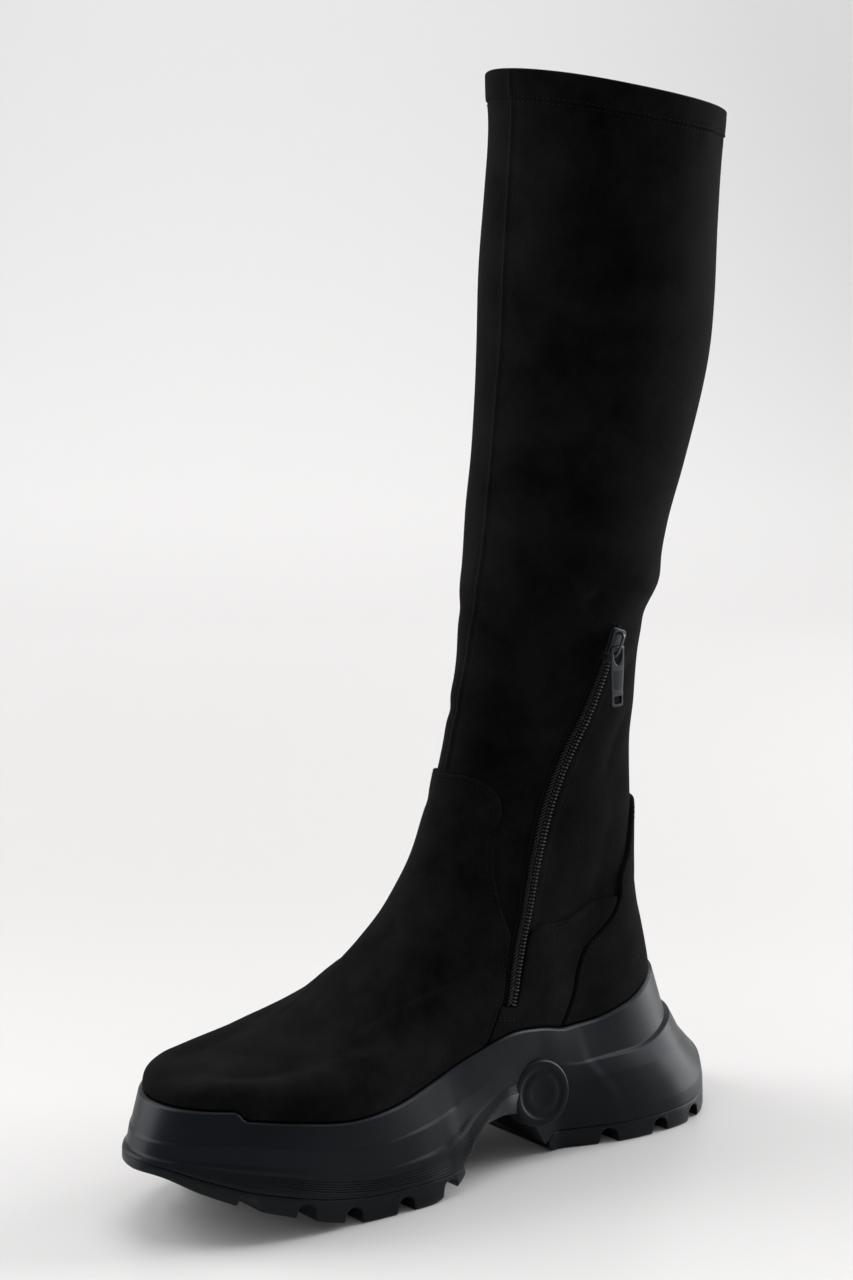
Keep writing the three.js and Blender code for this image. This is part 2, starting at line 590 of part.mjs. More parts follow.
// Outsole outline at a share of the sole's length
function outlinePoint(s, side) {
  const column = side > 0 ? 'medial' : 'lateral';
  const rows = [
    ...outlineTable.map((row) => ({ along: row.along, half: (row[column] * forefootWidth) / 2 })),
    ...heelOutlineTable.map((row) => ({ along: row.along, half: (row[column] * heelWidth) / 2 })),
  ];
  const y = soleToeY + s * soleLength;
  return new THREE.Vector3(bend(y) + side * through(rows, 'half', s) * roundEnd(s, endExponent), y, 0);
}

const soleOutline = loopOf(soleShares, outlinePoint);
const rimLoop = loopOf(soleShares, (s, side) => rowPoint(rimRow, s, side));
const floorLoop = loopOf(soleShares, (s, side) => rowPoint(floorRow, s, side));
const cupGap = clearance + chordAllowance;
const floorGap = clearance + 2 * chordAllowance;
const rimOutline = offsetInPlan(rimLoop, cupGap + lipThickness);

const soleShare = (y) => clamp01((y - soleToeY) / soleLength);
const sideHeight = (column, y) => platformHeight * through(sideTable, column, soleShare(y));
const flare = (column, y) => through(flareTable, column, soleShare(y));

// Loop on the side of the sole: flare says how far out, height says how high at each place
function sideLoop(flareOf, heightOf, grow = () => 0) {
  const plain = rimOutline.map((rim, j) => {
    const y = mix(rim.y, soleOutline[j].y, flareOf(rim.y));
    const p = rim.clone().lerp(soleOutline[j], flareOf(rim.y));
    p.z = heightOf(y, rim);
    return p;
  });
  const grown = offsetInPlan(plain, 1);
  return plain.map((p, j) => p.lerp(grown[j], grow(p.y)));
}

const stepDrop = 0.9;           // height of each step's sloping shelf
const lipRound = 0.8;

function midsoleLoops() {
  const lipZ = (rim) => rim.z - clearance;
  const loops = [];
  const underside = (y) => sideHeight('part', y);
  loops.push(sideLoop((y) => mix(flare('ribTop', y), 1, 0.9), underside));
  loops.push(sideLoop((y) => mix(flare('ribTop', y), 1, 0.75), (y) => sideHeight('ribEnd', y)));
  for (let i = 1; i < 2 * ribCount; i += 1) {
    const t = i / (2 * ribCount);
    const groove = i % 2 === 1 ? -ribDepth : 0;
    loops.push(sideLoop(
      (y) => mix(mix(flare('ribTop', y), 1, 0.75), flare('ribTop', y), t),
      (y) => mix(sideHeight('ribEnd', y), sideHeight('ribTop', y), t),
      (y) => groove * flare('ribs', y),
    ));
  }
  loops.push(sideLoop((y) => flare('ribTop', y), (y) => sideHeight('ribTop', y)));
  loops.push(sideLoop((y) => flare('above2', y) + flare('width2', y), (y) => sideHeight('step2', y) - stepDrop));
  loops.push(sideLoop((y) => flare('above2', y), (y) => sideHeight('step2', y)));
  loops.push(sideLoop((y) => flare('above1', y) + flare('width1', y), (y) => sideHeight('step1', y) - stepDrop));
  loops.push(sideLoop((y) => flare('above1', y), (y) => sideHeight('step1', y)));
  loops.push(sideLoop(() => 0.03, (y, rim) => lipZ(rim) - lipRound));
  loops.push(offsetInPlan(rimLoop, cupGap + lipThickness - lipRound).map((p) => p.setZ(lipZ(p))));
  loops.push(offsetInPlan(rimLoop, cupGap).map((p) => p.setZ(lipZ(p))));
  loops.push(offsetInPlan(floorLoop, cupGap).map((p) => p.setZ(p.z - floorGap)));
  return loops;
}

// Plain round boss with a raised ring and a dished middle, on the medial waist
function sideDisc() {
  const radius = discDiameter / 2;
  const profile = [
    [0, -6], [radius, -6], [radius, discProud - 0.6], [radius - 0.8, discProud], [radius - 2.6, discProud],
    [radius - 3.6, discProud - 1.1], [radius * 0.35, discProud - 1.3], [0, discProud - 1.3],
  ].map(([r, z]) => new THREE.Vector2(r, z));
  const lathe = new THREE.LatheGeometry(profile, 28);
  lathe.rotateX(Math.PI / 2);
  lathe.applyMatrix4(discFrame());
  return solidFromGeometry(lathe);
}

const discAlong = 0.615;
const discUp = 0.67;
const discX = 37;
const discTiltBack = 0.10;
const discTiltDown = 0.14;

function discFrame() {
  const normal = new THREE.Vector3(1, -discTiltBack, discTiltDown).normalize();
  const turn = new THREE.Quaternion().setFromUnitVectors(new THREE.Vector3(0, 0, 1), normal);
  const place = new THREE.Vector3(discX, soleToeY + discAlong * soleLength, discUp * platformHeight);
  return new THREE.Matrix4().compose(place, turn, new THREE.Vector3(1, 1, 1));
}

// Arched groove across the tread
function grooveCutter(groove) {
  const y = soleToeY + groove.along * soleLength;
  const base = sideHeight('edge', y);
  const half = grooveWidth / 2;
  const top = base + grooveHeight * groove.height;
  const below = -4;
  const outline = [[y - half - 0.8, below], [y + half + 0.8, below], [y + half, mix(base, top, 0.45)]];
  const arcSteps = 4;
  for (let i = 1; i < arcSteps; i += 1) {
    const angle = (Math.PI * i) / arcSteps;
    outline.push([y + half * Math.cos(angle), mix(base, top, 0.45 + 0.55 * Math.sin(angle))]);
  }
  outline.push([y - half, mix(base, top, 0.45)]);
  return sidePrism(outline, -soleLength, soleLength);
}

// Channel along the middle of the tread, following the sole's lower edge
function channelCutter(span) {
  const steps = 6;
  const ys = Array.from({ length: steps + 1 }, (_, i) => soleToeY + mix(span.from, span.to, i / steps) * soleLength);
  const outline = [
    ...ys.map((y) => [y, -4]),
    ...ys.slice().reverse().map((y) => [y, sideHeight('edge', y) + channelHeight]),
  ];
  return sidePrism(outline, -channelWidth / 2, channelWidth / 2);
}

// Lugged outsole between two shares of the sole's length
function outsoleSolid(from, to, channel) {
  const inside = soleShares.filter((s) => s > from + 0.004 && s < to - 0.004);
  const shares = [from, ...inside, to].filter((s, i, list) => i === 0 || s - list[i - 1] > 1e-6);
  const tip = from === 0 ? 0 : 1;
  const ordered = tip === 0 ? shares : shares.slice().reverse();
  const bevel = 1;
  const at = (s, side, column, share, lift) => {
    const rim = rowPoint(rimRow, s, side);
    const out = new THREE.Vector3(side, 0, 0);
    rim.addScaledVector(out, cupGap + lipThickness);
    const base = outlinePoint(s, side);
    const reach = mix(flare('ribTop', rim.y), 1, share);
    const p = rim.lerp(base, reach);
    p.z = sideHeight(column, p.y) + lift;
    return p;
  };
  const loop = (column, share, lift, inset) => {
    const medial = ordered.map((s) => at(s, 1, column, share, lift));
    const lateral = ordered.slice(1).reverse().map((s) => at(s, -1, column, share, lift));
    return offsetInPlan([...medial, ...lateral], tip === 0 ? -inset : inset);
  };
  const loops = [
    loop('edge', 1, 0, bevel),
    loop('edge', 1, bevel, 0),
    loop('part', 0.94, -clearance, 0),
  ];
  let solid = loopSolid(loops);
  grooveTable.filter((g) => g.along > from && g.along < to).forEach((g) => {
    solid = solid.subtract(grooveCutter(g));
  });
  return solid.subtract(channelCutter(channel));
}

// Insole on the cup's floor, inside the upper's wall
function insoleSolid() {
  const inset = wall + 2 * clearance + chordAllowance;
  const low = offsetInPlan(floorLoop, -inset);
  const high = offsetInPlan(floorLoop, -inset - insoleTaper).map((p) => p.setZ(p.z + insoleThickness));
  return loopSolid([low, high]);
}

// Overlays: thin shells over the upper, cut to an outline seen from the side

function overShell(from, to, topRow) {
  const rows = upperRows.map((_, k) => k).filter((k) => k <= topRow);
  const outer = rows.map((k) => offsetLoop(k, to));
  const inner = rows.map((k) => offsetLoop(k, from)).reverse();
  return loopSolid([...outer, ...inner], true, rows.length);
}

const panelRows = 1 + footTable.length + 1;
const zipRows = panelRows + 5;
const reachOut = 80;            // farther than any side of the upper
const reachFront = lastToeY - 20;
const reachBack = -lastToeY + 40;
const sidePoint = (row) => [lastToeY + row.along * lastLength, platformHeight + row.up * instepRise];
const shifted = (points, dy) => points.map(([y, z]) => [y + dy, z]);

// Everything above the rim of the cup by the clearance
function aboveRim(solid) {
  const outline = offsetInPlan(rimLoop, 6);
  const floor = outline.map((p) => p.clone().setZ(-1));
  return solid.subtract(loopSolid([floor, outline, offsetInPlan(rimLoop, -1)]));
}

const overlay = (thickness, prism) => aboveRim(
  overShell(overlayGap, overlayGap + thickness, panelRows).intersect(prism),
);

// Line beside the zip between two shares of its length; distance is to the back
const zipSteps = 14;
function zipLine(from, to, distance) {
  const at = (t) => sidePoint({ along: through(zipTable, 'back', t), up: through(zipTable, 'up', t) });
  return Array.from({ length: zipSteps + 1 }, (_, i) => {
    const t = mix(from, to, i / zipSteps);
    const [y, z] = at(t);
    const [y0, z0] = at(Math.max(0, t - 0.01));
    const [y1, z1] = at(Math.min(1, t + 0.01));
    const run = Math.hypot(y1 - y0, z1 - z0);
    return [y + (distance * (z1 - z0)) / run, z - (distance * (y1 - y0)) / run];
  });
}

const besideZip = tapeWidth / 2 + overlayGap;

function vampSolid() {
  const head = [[reachFront, -1], [reachFront, vampEdge[0].up * instepRise + platformHeight], ...vampEdge.map(sidePoint)];
  const medial = [
    ...head,
    ...zipLine(0, vampZipEnd, -besideZip).reverse(),
    ...medialSeam.map(sidePoint),
    [sidePoint(medialSeam.at(-1))[0], -1],
  ];
  const lateral = [...head, ...lateralSeam.map(sidePoint), [sidePoint(lateralSeam.at(-1))[0], -1]];
  return overlay(vampThickness, sidePrism(medial, 0, reachOut).add(sidePrism(lateral, -reachOut, 0)));
}

function counterSolid() {
  const edge = counterEdge.map(sidePoint);
  const outline = [[reachBack, edge[0][1]], ...edge, [edge.at(-1)[0], -1], [reachBack, -1]];
  return overlay(counterThickness, sidePrism(outline, -reachOut, reachOut));
}

// The quarters run from the vamp to the counter; the medial one passes behind and below the zip
const quarterBack = shifted(counterEdge.filter((row) => row.up <= 0.5).map(sidePoint), -overlayGap);
const quarterRise = quarterTop.map(sidePoint);

function medialQuarterSolid() {
  const seam = shifted(medialSeam.map(sidePoint), overlayGap);
  const underZip = [zipLine(0, 1, besideZip)[0], zipLine(0, 1, -besideZip)[0]].map(([y, z]) => [y - 0.3, z - 0.7]);
  const outline = [
    ...zipLine(0, quarterZipEnd, besideZip),
    ...quarterRise,
    ...quarterBack,
    [quarterBack.at(-1)[0], -1],
    [seam.at(-1)[0], -1],
    ...seam.reverse(),
    underZip[1],
    underZip[0],
  ];
  return overlay(quarterThickness, sidePrism(outline, 0, reachOut));
}

function lateralQuarterSolid() {
  const seam = shifted([vampEdge.at(-1), ...lateralSeam].map(sidePoint), overlayGap);
  const outline = [
    ...quarterRise,
    ...quarterBack,
    [quarterBack.at(-1)[0], -1],
    [seam.at(-1)[0], -1],
    ...seam.slice(1).reverse(),
    [seam[0][0], quarterRise[0][1]],
  ];
  return overlay(quarterThickness, sidePrism(outline, -reachOut, 0));
}

// Zip

function zipBand(from, thickness, width, end) {
  const outline = [...zipLine(0, end, width / 2), ...zipLine(0, end, -width / 2).reverse()];
  return overShell(from, from + thickness, zipRows).intersect(sidePrism(outline, 0, reachOut));
}

// Point on the upper's medial side
const caster = new THREE.Raycaster();
function surfacePoint(y, z) {
  caster.set(new THREE.Vector3(2 * reachOut, y, z), new THREE.Vector3(-1, 0, 0));
  return caster.intersectObject(boot.getObjectByName('upper'))[0].point;
}

// Frame of the slider: across the zip, along it and outwards
function sliderFrame() {
  const [y, z] = sidePoint({ along: through(zipTable, 'back', sliderAt), up: through(zipTable, 'up', sliderAt) });
  const [low, high] = [zipLine(0.93, 1, 0)[0], zipLine(0.93, 1, 0).at(-1)];
  const along = surfacePoint(...high).sub(surfacePoint(...low)).normalize();
  const half = sliderWidth / 2;
  const across = surfacePoint(y + half * along.z, z - half * along.y)
    .sub(surfacePoint(y - half * along.z, z + half * along.y));
  const outward = across.clone().cross(along).normalize();
  const side = along.clone().cross(outward);
  return { origin: surfacePoint(y, z), side, along, outward };
}

const chainBase = overlayGap + tapeThickness + clearance;
const sliderBase = chainBase + chordAllowance;
const sliderTop = sliderBase + sliderHeight;
const pullBarAt = -0.22 * bridgeSpan;

function extruded(shape, depth, bevel) {
  return new THREE.ExtrudeGeometry(shape, {
    depth: depth - 2 * bevel,
    bevelEnabled: bevel > 0,
    bevelThickness: bevel,
    bevelSize: bevel,
    bevelOffset: -bevel,
    bevelSegments: 1,
  }).translate(0, 0, bevel);
}

const shapeOf = (points) => new THREE.Shape(points.map(([x, y]) => new THREE.Vector2(x, y)));
const mirrored = (points) => [...points, ...points.slice().reverse().map(([x, y]) => [-x, y])];

function sliderSolid() {
  const { origin, side, along, outward } = sliderFrame();
  const w = sliderWidth / 2;
  const l = sliderLength / 2;
  const body = extruded(shapeOf(mirrored([
    [0.70 * w, -l], [0.84 * w, -0.84 * l], [0.84 * w, 0.1 * l], [w, 0.45 * l], [w, 0.8 * l], [0.64 * w, l],
  ])), sliderHeight, 0.4);
  body.applyMatrix4(new THREE.Matrix4().makeBasis(side, along, outward));
  body.translate(...origin.clone().addScaledVector(outward, sliderBase));
  const sunk = 0.5;
  const a = bridgeSpan / 2 + bridgeBar;
  const h = tunnelHeight + bridgeBar;
  const arch = (x, y) => [[-x, 0.55 * y], [-0.76 * x, y], [0.76 * x, y], [x, 0.55 * y]];
  const bridge = extruded(shapeOf([
    [-a, -sunk], ...arch(a, h), [a, -sunk],
    [a - bridgeBar, -sunk], ...arch(a - bridgeBar, tunnelHeight).reverse(), [bridgeBar - a, -sunk],
  ]), bridgeWidth, 0);
  bridge.translate(0, 0, -bridgeWidth / 2);
  bridge.applyMatrix4(new THREE.Matrix4().makeBasis(along, outward, side));
  bridge.translate(...origin.clone().addScaledVector(outward, sliderTop));
  return solidFromGeometry(body).add(solidFromGeometry(bridge));
}

// The pull hangs plumb from its bar under the bridge; its plate faces +X
function pullSolid() {
  const { origin, along, outward } = sliderFrame();
  const hinge = origin.clone()
    .addScaledVector(outward, sliderTop + tunnelHeight / 2)
    .addScaledVector(along, pullBarAt);
  const head = pullWidth / 2;
  const foot = pullFootWidth / 2;
  const shape = shapeOf(mirrored([
    [foot - 0.8, -pullLength], [foot, 0.8 - pullLength], [head, -pullWindowLength - 1.5], [head, 0],
  ]));
  const window = pullWindowWidth / 2;
  shape.holes.push(
    shapeOf(mirrored([[0.3 * window, -pullWindowLength], [window, -0.66 * pullWindowLength], [window, -pullBar / 4]])),
    shapeOf(mirrored([
      [pullHoleWidth / 2, 1.3 - pullLength], [pullHoleWidth / 2, 1.3 + pullHoleLength - pullLength],
    ])),
  );
  const plate = new THREE.ExtrudeGeometry(shape, { depth: pullThickness, bevelEnabled: false });
  plate.translate(0, 0, -pullThickness / 2);
  plate.applyMatrix4(new THREE.Matrix4().makeBasis(
    new THREE.Vector3(0, 1, 0), new THREE.Vector3(0, 0, 1), new THREE.Vector3(1, 0, 0),
  ));
  const bar = new THREE.CylinderGeometry(pullBar / 2, pullBar / 2, pullWidth, 12);
  return solidFromGeometry(plate).add(solidFromGeometry(bar)).translate(hinge.x, hinge.y, hinge.z);
}

// Materials and the assembly

const boot = new THREE.Group();
const finish = (color, roughness, metalness = 0) => new THREE.MeshStandardMaterial({ color, roughness, metalness });

function addPiece(name, solid, material) {
  const mesh = solid.getMesh();
  const geometry = new THREE.BufferGeometry();
  geometry.setAttribute('position', new THREE.BufferAttribute(new Float32Array(mesh.vertProperties), 3));
  geometry.setIndex(Array.from(mesh.triVerts));
  geometry.computeVertexNormals();
  const piece = new THREE.Mesh(geometry, material);
  piece.name = name;
  boot.add(piece);
}

addPiece('upper', upperSolid(), finish(suedeBlack, 0.95));
addPiece('outsole_forefoot', outsoleSolid(0, forefootOutsoleEnd, channelForefoot), finish(soleSlate, 0.75));
addPiece('outsole_heel', outsoleSolid(heelOutsoleStart, 1, channelHeel), finish(soleSlate, 0.75));
addPiece('midsole', loopSolid(midsoleLoops()).add(sideDisc()), finish(soleSlate, 0.6));
addPiece('insole', insoleSolid(), finish(insoleBlack, 0.9));
addPiece('vamp_panel', vampSolid(), finish(suedeBlack, 0.95));
addPiece('counter_panel', counterSolid(), finish(suedeBlack, 0.95));
addPiece('quarter_medial', medialQuarterSolid(), finish(suedeBlack, 0.95));
addPiece('quarter_lateral', lateralQuarterSolid(), finish(suedeBlack, 0.95));
addPiece('zip_tape', zipBand(overlayGap, tapeThickness, tapeWidth, 1), finish(zipBlack, 0.9));
addPiece('zip_chain', zipBand(chainBase, chainThickness, chainWidth, chainEnd), finish(zipBlack, 0.5));
addPiece('zip_slider', sliderSolid(), finish(gunmetal, 0.35, 0.9));
addPiece('zip_pull', pullSolid(), finish(gunmetal, 0.35, 0.9));

// The origin lies below the middle of the whole boot
const bounds = new THREE.Box3().setFromObject(boot);
const middle = bounds.getCenter(new THREE.Vector3());
boot.children.forEach((piece) => piece.geometry.translate(-middle.x, -middle.y, -bounds.min.z));

export default boot;
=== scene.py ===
import json
import math

import bmesh
import bpy
import numpy as np
from mathutils import Matrix, Vector
from mathutils.bvhtree import BVHTree


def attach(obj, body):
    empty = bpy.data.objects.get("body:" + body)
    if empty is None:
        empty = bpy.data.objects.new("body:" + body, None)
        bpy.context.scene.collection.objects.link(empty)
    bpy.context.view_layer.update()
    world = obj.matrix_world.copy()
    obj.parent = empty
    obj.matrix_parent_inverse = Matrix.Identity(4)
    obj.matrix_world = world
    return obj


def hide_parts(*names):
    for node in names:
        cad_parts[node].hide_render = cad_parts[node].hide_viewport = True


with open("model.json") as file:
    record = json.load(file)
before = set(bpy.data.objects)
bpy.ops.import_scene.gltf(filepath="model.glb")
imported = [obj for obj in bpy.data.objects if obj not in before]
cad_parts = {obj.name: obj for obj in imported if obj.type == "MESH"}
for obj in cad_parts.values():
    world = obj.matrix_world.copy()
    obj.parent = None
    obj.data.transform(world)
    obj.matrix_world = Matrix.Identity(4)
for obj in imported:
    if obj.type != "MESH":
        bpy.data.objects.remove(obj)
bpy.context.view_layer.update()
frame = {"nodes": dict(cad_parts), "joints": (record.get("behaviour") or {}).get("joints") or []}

# Driving sizes of the sole
sole_length = 290
forefoot_width = 104
heel_width = 94
platform_height = 42
rim_rise = 24
bumper_rise = 3.8
bumper_end = 0.068
bumper_fade = 0.016
lip_thickness = 2.2
cup_depth = 6
rib_depth = 0.75
rib_count = 6
loops_per_rib = 6
groove_width = 7.6
groove_height = 6.4
channel_width = 13
channel_height = 4.5
channel_edge = 0.4
disc_diameter = 28
disc_proud = 1.8
disc_along = 0.615
disc_up = 0.67
shank_raise = 0.3
shank_groove = 0.12

# Driving sizes of the last and the shaft
toe_flare = 12.5
heel_flare = 28.5
last_half_width = 48
lateral_fullness = 5.5
toe_swing = 4
instep_rise = 118
ankle_depth = 92
ankle_front = 12.4
shaft_rise = 267
shaft_lean = 38
collar_depth = 99
collar_width = 93.4
collar_tilt = 18.5

# Walls, overlays and clearances
wall = 2
clearance = 0.3
cup_gap = 0.55
floor_gap = 0.8
overlay_gap = 0.45
vamp_thickness = 1.2
quarter_thickness = 0.9
counter_thickness = 1.5
hem_height = 11.5
hem_proud = 0.6
seam_proud = 0.5
row_spacing = 1.7
hem_spacing = 0.5
insole_thickness = 3.5
step_drop = 0.95
lip_round = 0.9
corner_round = 0.4

# Soft relief of the cloth
seam_width = 1.1
seam_dent = 0.15
hem_dent = 0.45
hem_wave = 0.10
pucker_height = 0.16
wave_height = 0.28
toe_top_drop = 2.1
instep_lift = 0.4
upper_shaft_swell = 0.8
collar_arc = 1.4
stitch_inset = 2.6
stitch_dent = 0.14
panel_swell = 0.06

# Sizes of the zip
tape_width = 7.2
tape_thickness = 0.6
chain_width = 6
slider_length = 12
slider_width = 8
slider_height = 2.4
bridge_span = 8
bridge_width = 1.3
bridge_bar = 0.9
tunnel_height = 1.9
pull_length = 24.5
pull_width = 6.8
pull_foot_width = 6
pull_foot_length = 6.4
pull_thickness = 1.1
pull_bar = 1.1
pull_window_length = 7.2
pull_window_width = 4.6
pull_hole_length = 3
pull_hole_width = 3.4
slider_low_plate = 0.95
slider_top_plate = 1
slider_at = 0.975
chain_start = 0.006
chain_end = 0.928
quarter_zip_end = 0.19
fold_gap = 0.35
fold_height = 0.6
fold_height_at_top = 0.45
vamp_zip_end = 0.17

# Places that follow from the sizes
sole_toe_y = -sole_length / 2
last_toe_y = sole_toe_y + toe_flare
last_length = sole_length - toe_flare - heel_flare
shaft_foot = platform_height + instep_rise + 5.5

# The CAD part is centred on its own box, and these pieces go to the same place
heel_corners = [v.co for v in frame["nodes"]["outsole_heel"].data.vertices]
heel_tip = max(heel_corners, key=lambda corner: corner.y)
to_frame = np.array([1000 * heel_tip.x, 1000 * heel_tip.y - sole_length / 2, 0])


def table(columns, *rows):
    """Short table with named columns."""
    return dict(zip(columns.split(), np.array(rows, float).T))


rim_table = table(
    "along rise",
    (0.00, 0.30), (0.07, 0.28), (0.15, 0.15), (0.26, 0.00), (0.33, 0.03), (0.44, 0.21), (0.53, 0.43),
    (0.62, 0.59), (0.68, 0.52), (0.74, 0.39), (0.80, 0.38), (0.88, 0.50), (0.94, 0.70), (1.00, 0.92),
)
outline_table = table(
    "along medial lateral",
    (0.000, 0.84, 0.96), (0.070, 0.98, 1.02), (0.109, 1.05, 1.05), (0.169, 1.05, 1.03),
    (0.268, 1.00, 1.03), (0.367, 0.99, 1.01), (0.426, 0.95, 0.98), (0.485, 0.85, 0.91),
    (0.545, 0.76, 0.85), (0.604, 0.71, 0.81), (0.654, 0.70, 0.80),
)
heel_outline_table = table(
    "along medial lateral",
    (0.703, 0.90, 0.97), (0.753, 1.06, 1.08), (0.832, 1.26, 1.26), (0.881, 1.38, 1.38),
    (0.941, 1.47, 1.47), (1.000, 1.45, 1.45),
)
side_table = table(
    "along step1 step2 rib_top rib_end part edge",
    (0.000, 0.964, 0.830, 0.810, 0.790, 0.770, 0.680),
    (0.055, 0.976, 0.810, 0.765, 0.705, 0.645, 0.500),
    (0.099, 0.970, 0.770, 0.705, 0.610, 0.535, 0.365),
    (0.154, 0.905, 0.685, 0.620, 0.495, 0.430, 0.233),
    (0.228, 0.780, 0.548, 0.488, 0.345, 0.305, 0.070),
    (0.268, 0.738, 0.495, 0.436, 0.295, 0.262, 0.010),
    (0.292, 0.729, 0.481, 0.412, 0.276, 0.252, 0.000),
    (0.381, 0.757, 0.500, 0.417, 0.257, 0.243, 0.000),
    (0.411, 0.781, 0.531, 0.448, 0.262, 0.243, 0.038),
    (0.436, 0.810, 0.583, 0.512, 0.305, 0.262, 0.107),
    (0.447, 0.821, 0.607, 0.548, 0.345, 0.286, 0.174),
    (0.458, 0.845, 0.643, 0.583, 0.405, 0.317, 0.310),
    (0.472, 0.869, 0.690, 0.631, 0.488, 0.452, 0.452),
    (0.490, 0.905, 0.738, 0.690, 0.560, 0.536, 0.536),
    (0.510, 0.952, 0.786, 0.738, 0.631, 0.571, 0.571),
    (0.535, 1.000, 0.845, 0.786, 0.702, 0.571, 0.571),
    (0.560, 1.024, 0.881, 0.821, 0.738, 0.548, 0.548),
    (0.584, 1.012, 0.869, 0.810, 0.714, 0.483, 0.483),
    (0.604, 0.988, 0.833, 0.750, 0.619, 0.376, 0.376),
    (0.619, 0.964, 0.798, 0.702, 0.524, 0.226, 0.226),
    (0.632, 0.940, 0.774, 0.667, 0.452, 0.107, 0.107),
    (0.649, 0.924, 0.750, 0.619, 0.405, 0.202, 0.000),
    (0.703, 0.857, 0.690, 0.524, 0.333, 0.202, 0.000),
    (0.802, 0.857, 0.690, 0.512, 0.321, 0.202, 0.000),
    (0.901, 0.990, 0.738, 0.548, 0.345, 0.214, 0.000),
    (0.951, 1.050, 0.786, 0.619, 0.440, 0.321, 0.019),
    (1.000, 1.090, 0.833, 0.690, 0.548, 0.452, 0.071),
)
flare_table = table(
    "along above1 width1 above2 width2 rib_top ribs",
    (0.000, 0.48, 0.08, 0.74, 0.10, 0.92, 0.0),
    (0.129, 0.44, 0.10, 0.71, 0.12, 0.93, 0.4),
    (0.258, 0.35, 0.13, 0.67, 0.15, 0.94, 1.0),
    (0.426, 0.28, 0.09, 0.58, 0.11, 0.85, 1.0),
    (0.525, 0.25, 0.02, 0.45, 0.02, 0.55, 0.7),
    (0.584, 0.20, 0.00, 0.45, 0.00, 0.60, 0.0),
    (0.664, 0.22, 0.04, 0.50, 0.00, 0.75, 0.0),
    (0.762, 0.24, 0.11, 0.58, 0.00, 0.78, 0.0),
    (0.930, 0.28, 0.09, 0.56, 0.00, 0.75, 0.0),
    (1.000, 0.33, 0.06, 0.55, 0.00, 0.74, 0.0),
)
foot_table = table(
    "front front_up back back_up wave full w0 w1 w2 w3 w4",
    (0.000, 0.093, 1.000, 0.205, 1.00, 1.00, 1.04, 1.000, 0.730, 0.690, 0.96),
    (0.006, 0.148, 0.991, 0.288, 0.85, 1.00, 1.02, 1.000, 0.750, 0.700, 0.98),
    (0.032, 0.163, 0.982, 0.373, 0.62, 0.90, 0.97, 0.880, 0.720, 0.695, 0.98),
    (0.088, 0.166, 0.972, 0.449, 0.45, 0.75, 0.97, 0.700, 0.665, 0.685, 0.98),
    (0.153, 0.172, 0.965, 0.525, 0.35, 0.60, 0.92, 0.600, 0.640, 0.675, 0.96),
    (0.281, 0.208, 0.961, 0.593, 0.25, 0.45, 0.76, 0.590, 0.630, 0.655, 0.94),
    (0.355, 0.262, 0.960, 0.657, 0.18, 0.30, 0.75, 0.610, 0.620, 0.645, 0.90),
    (0.415, 0.340, 0.960, 0.716, 0.12, 0.20, 0.74, 0.635, 0.620, 0.645, 0.86),
    (0.463, 0.430, 0.960, 0.775, 0.08, 0.10, 0.70, 0.640, 0.620, 0.640, 0.83),
    (0.502, 0.540, 0.960, 0.831, 0.05, 0.05, 0.66, 0.640, 0.620, 0.635, 0.79),
    (0.533, 0.645, 0.959, 0.890, 0.02, 0.00, 0.64, 0.650, 0.620, 0.630, 0.76),
    (0.556, 0.775, 0.958, 0.966, 0.00, 0.00, 0.58, 0.640, 0.615, 0.625, 0.72),
    (0.573, 0.907, 0.957, 1.034, 0.00, 0.00, 0.53, 0.620, 0.610, 0.620, 0.69),
)
shaft_table = table(
    "up lean depth tilt w0 w2 w4",
    (0.000, 0.020, 0.945, -0.49, 0.52, 0.620, 0.68),
    (0.045, 0.078, 0.926, -0.36, 0.50, 0.620, 0.68),
    (0.095, 0.140, 0.892, -0.22, 0.50, 0.640, 0.68),
    (0.145, 0.210, 0.868, -0.13, 0.55, 0.670, 0.70),
    (0.190, 0.285, 0.866, -0.04, 0.64, 0.715, 0.73),
    (0.240, 0.370, 0.876, 0.04, 0.74, 0.770, 0.775),
    (0.295, 0.445, 0.878, 0.13, 0.81, 0.820, 0.825),
    (0.360, 0.525, 0.886, 0.22, 0.86, 0.865, 0.87),
    (0.440, 0.660, 0.934, 0.31, 0.87, 0.885, 0.91),
    (0.520, 0.770, 0.978, 0.40, 0.91, 0.920, 0.94),
    (0.610, 0.860, 0.998, 0.50, 0.98, 0.975, 0.98),
    (0.710, 0.910, 1.006, 0.64, 1.00, 0.995, 1.00),
    (0.830, 0.965, 1.002, 0.79, 0.97, 0.980, 0.98),
    (0.920, 1.000, 1.000, 0.90, 0.95, 0.970, 0.98),
    (1.000, 1.010, 1.016, 1.00, 0.98, 1.000, 1.02),
)

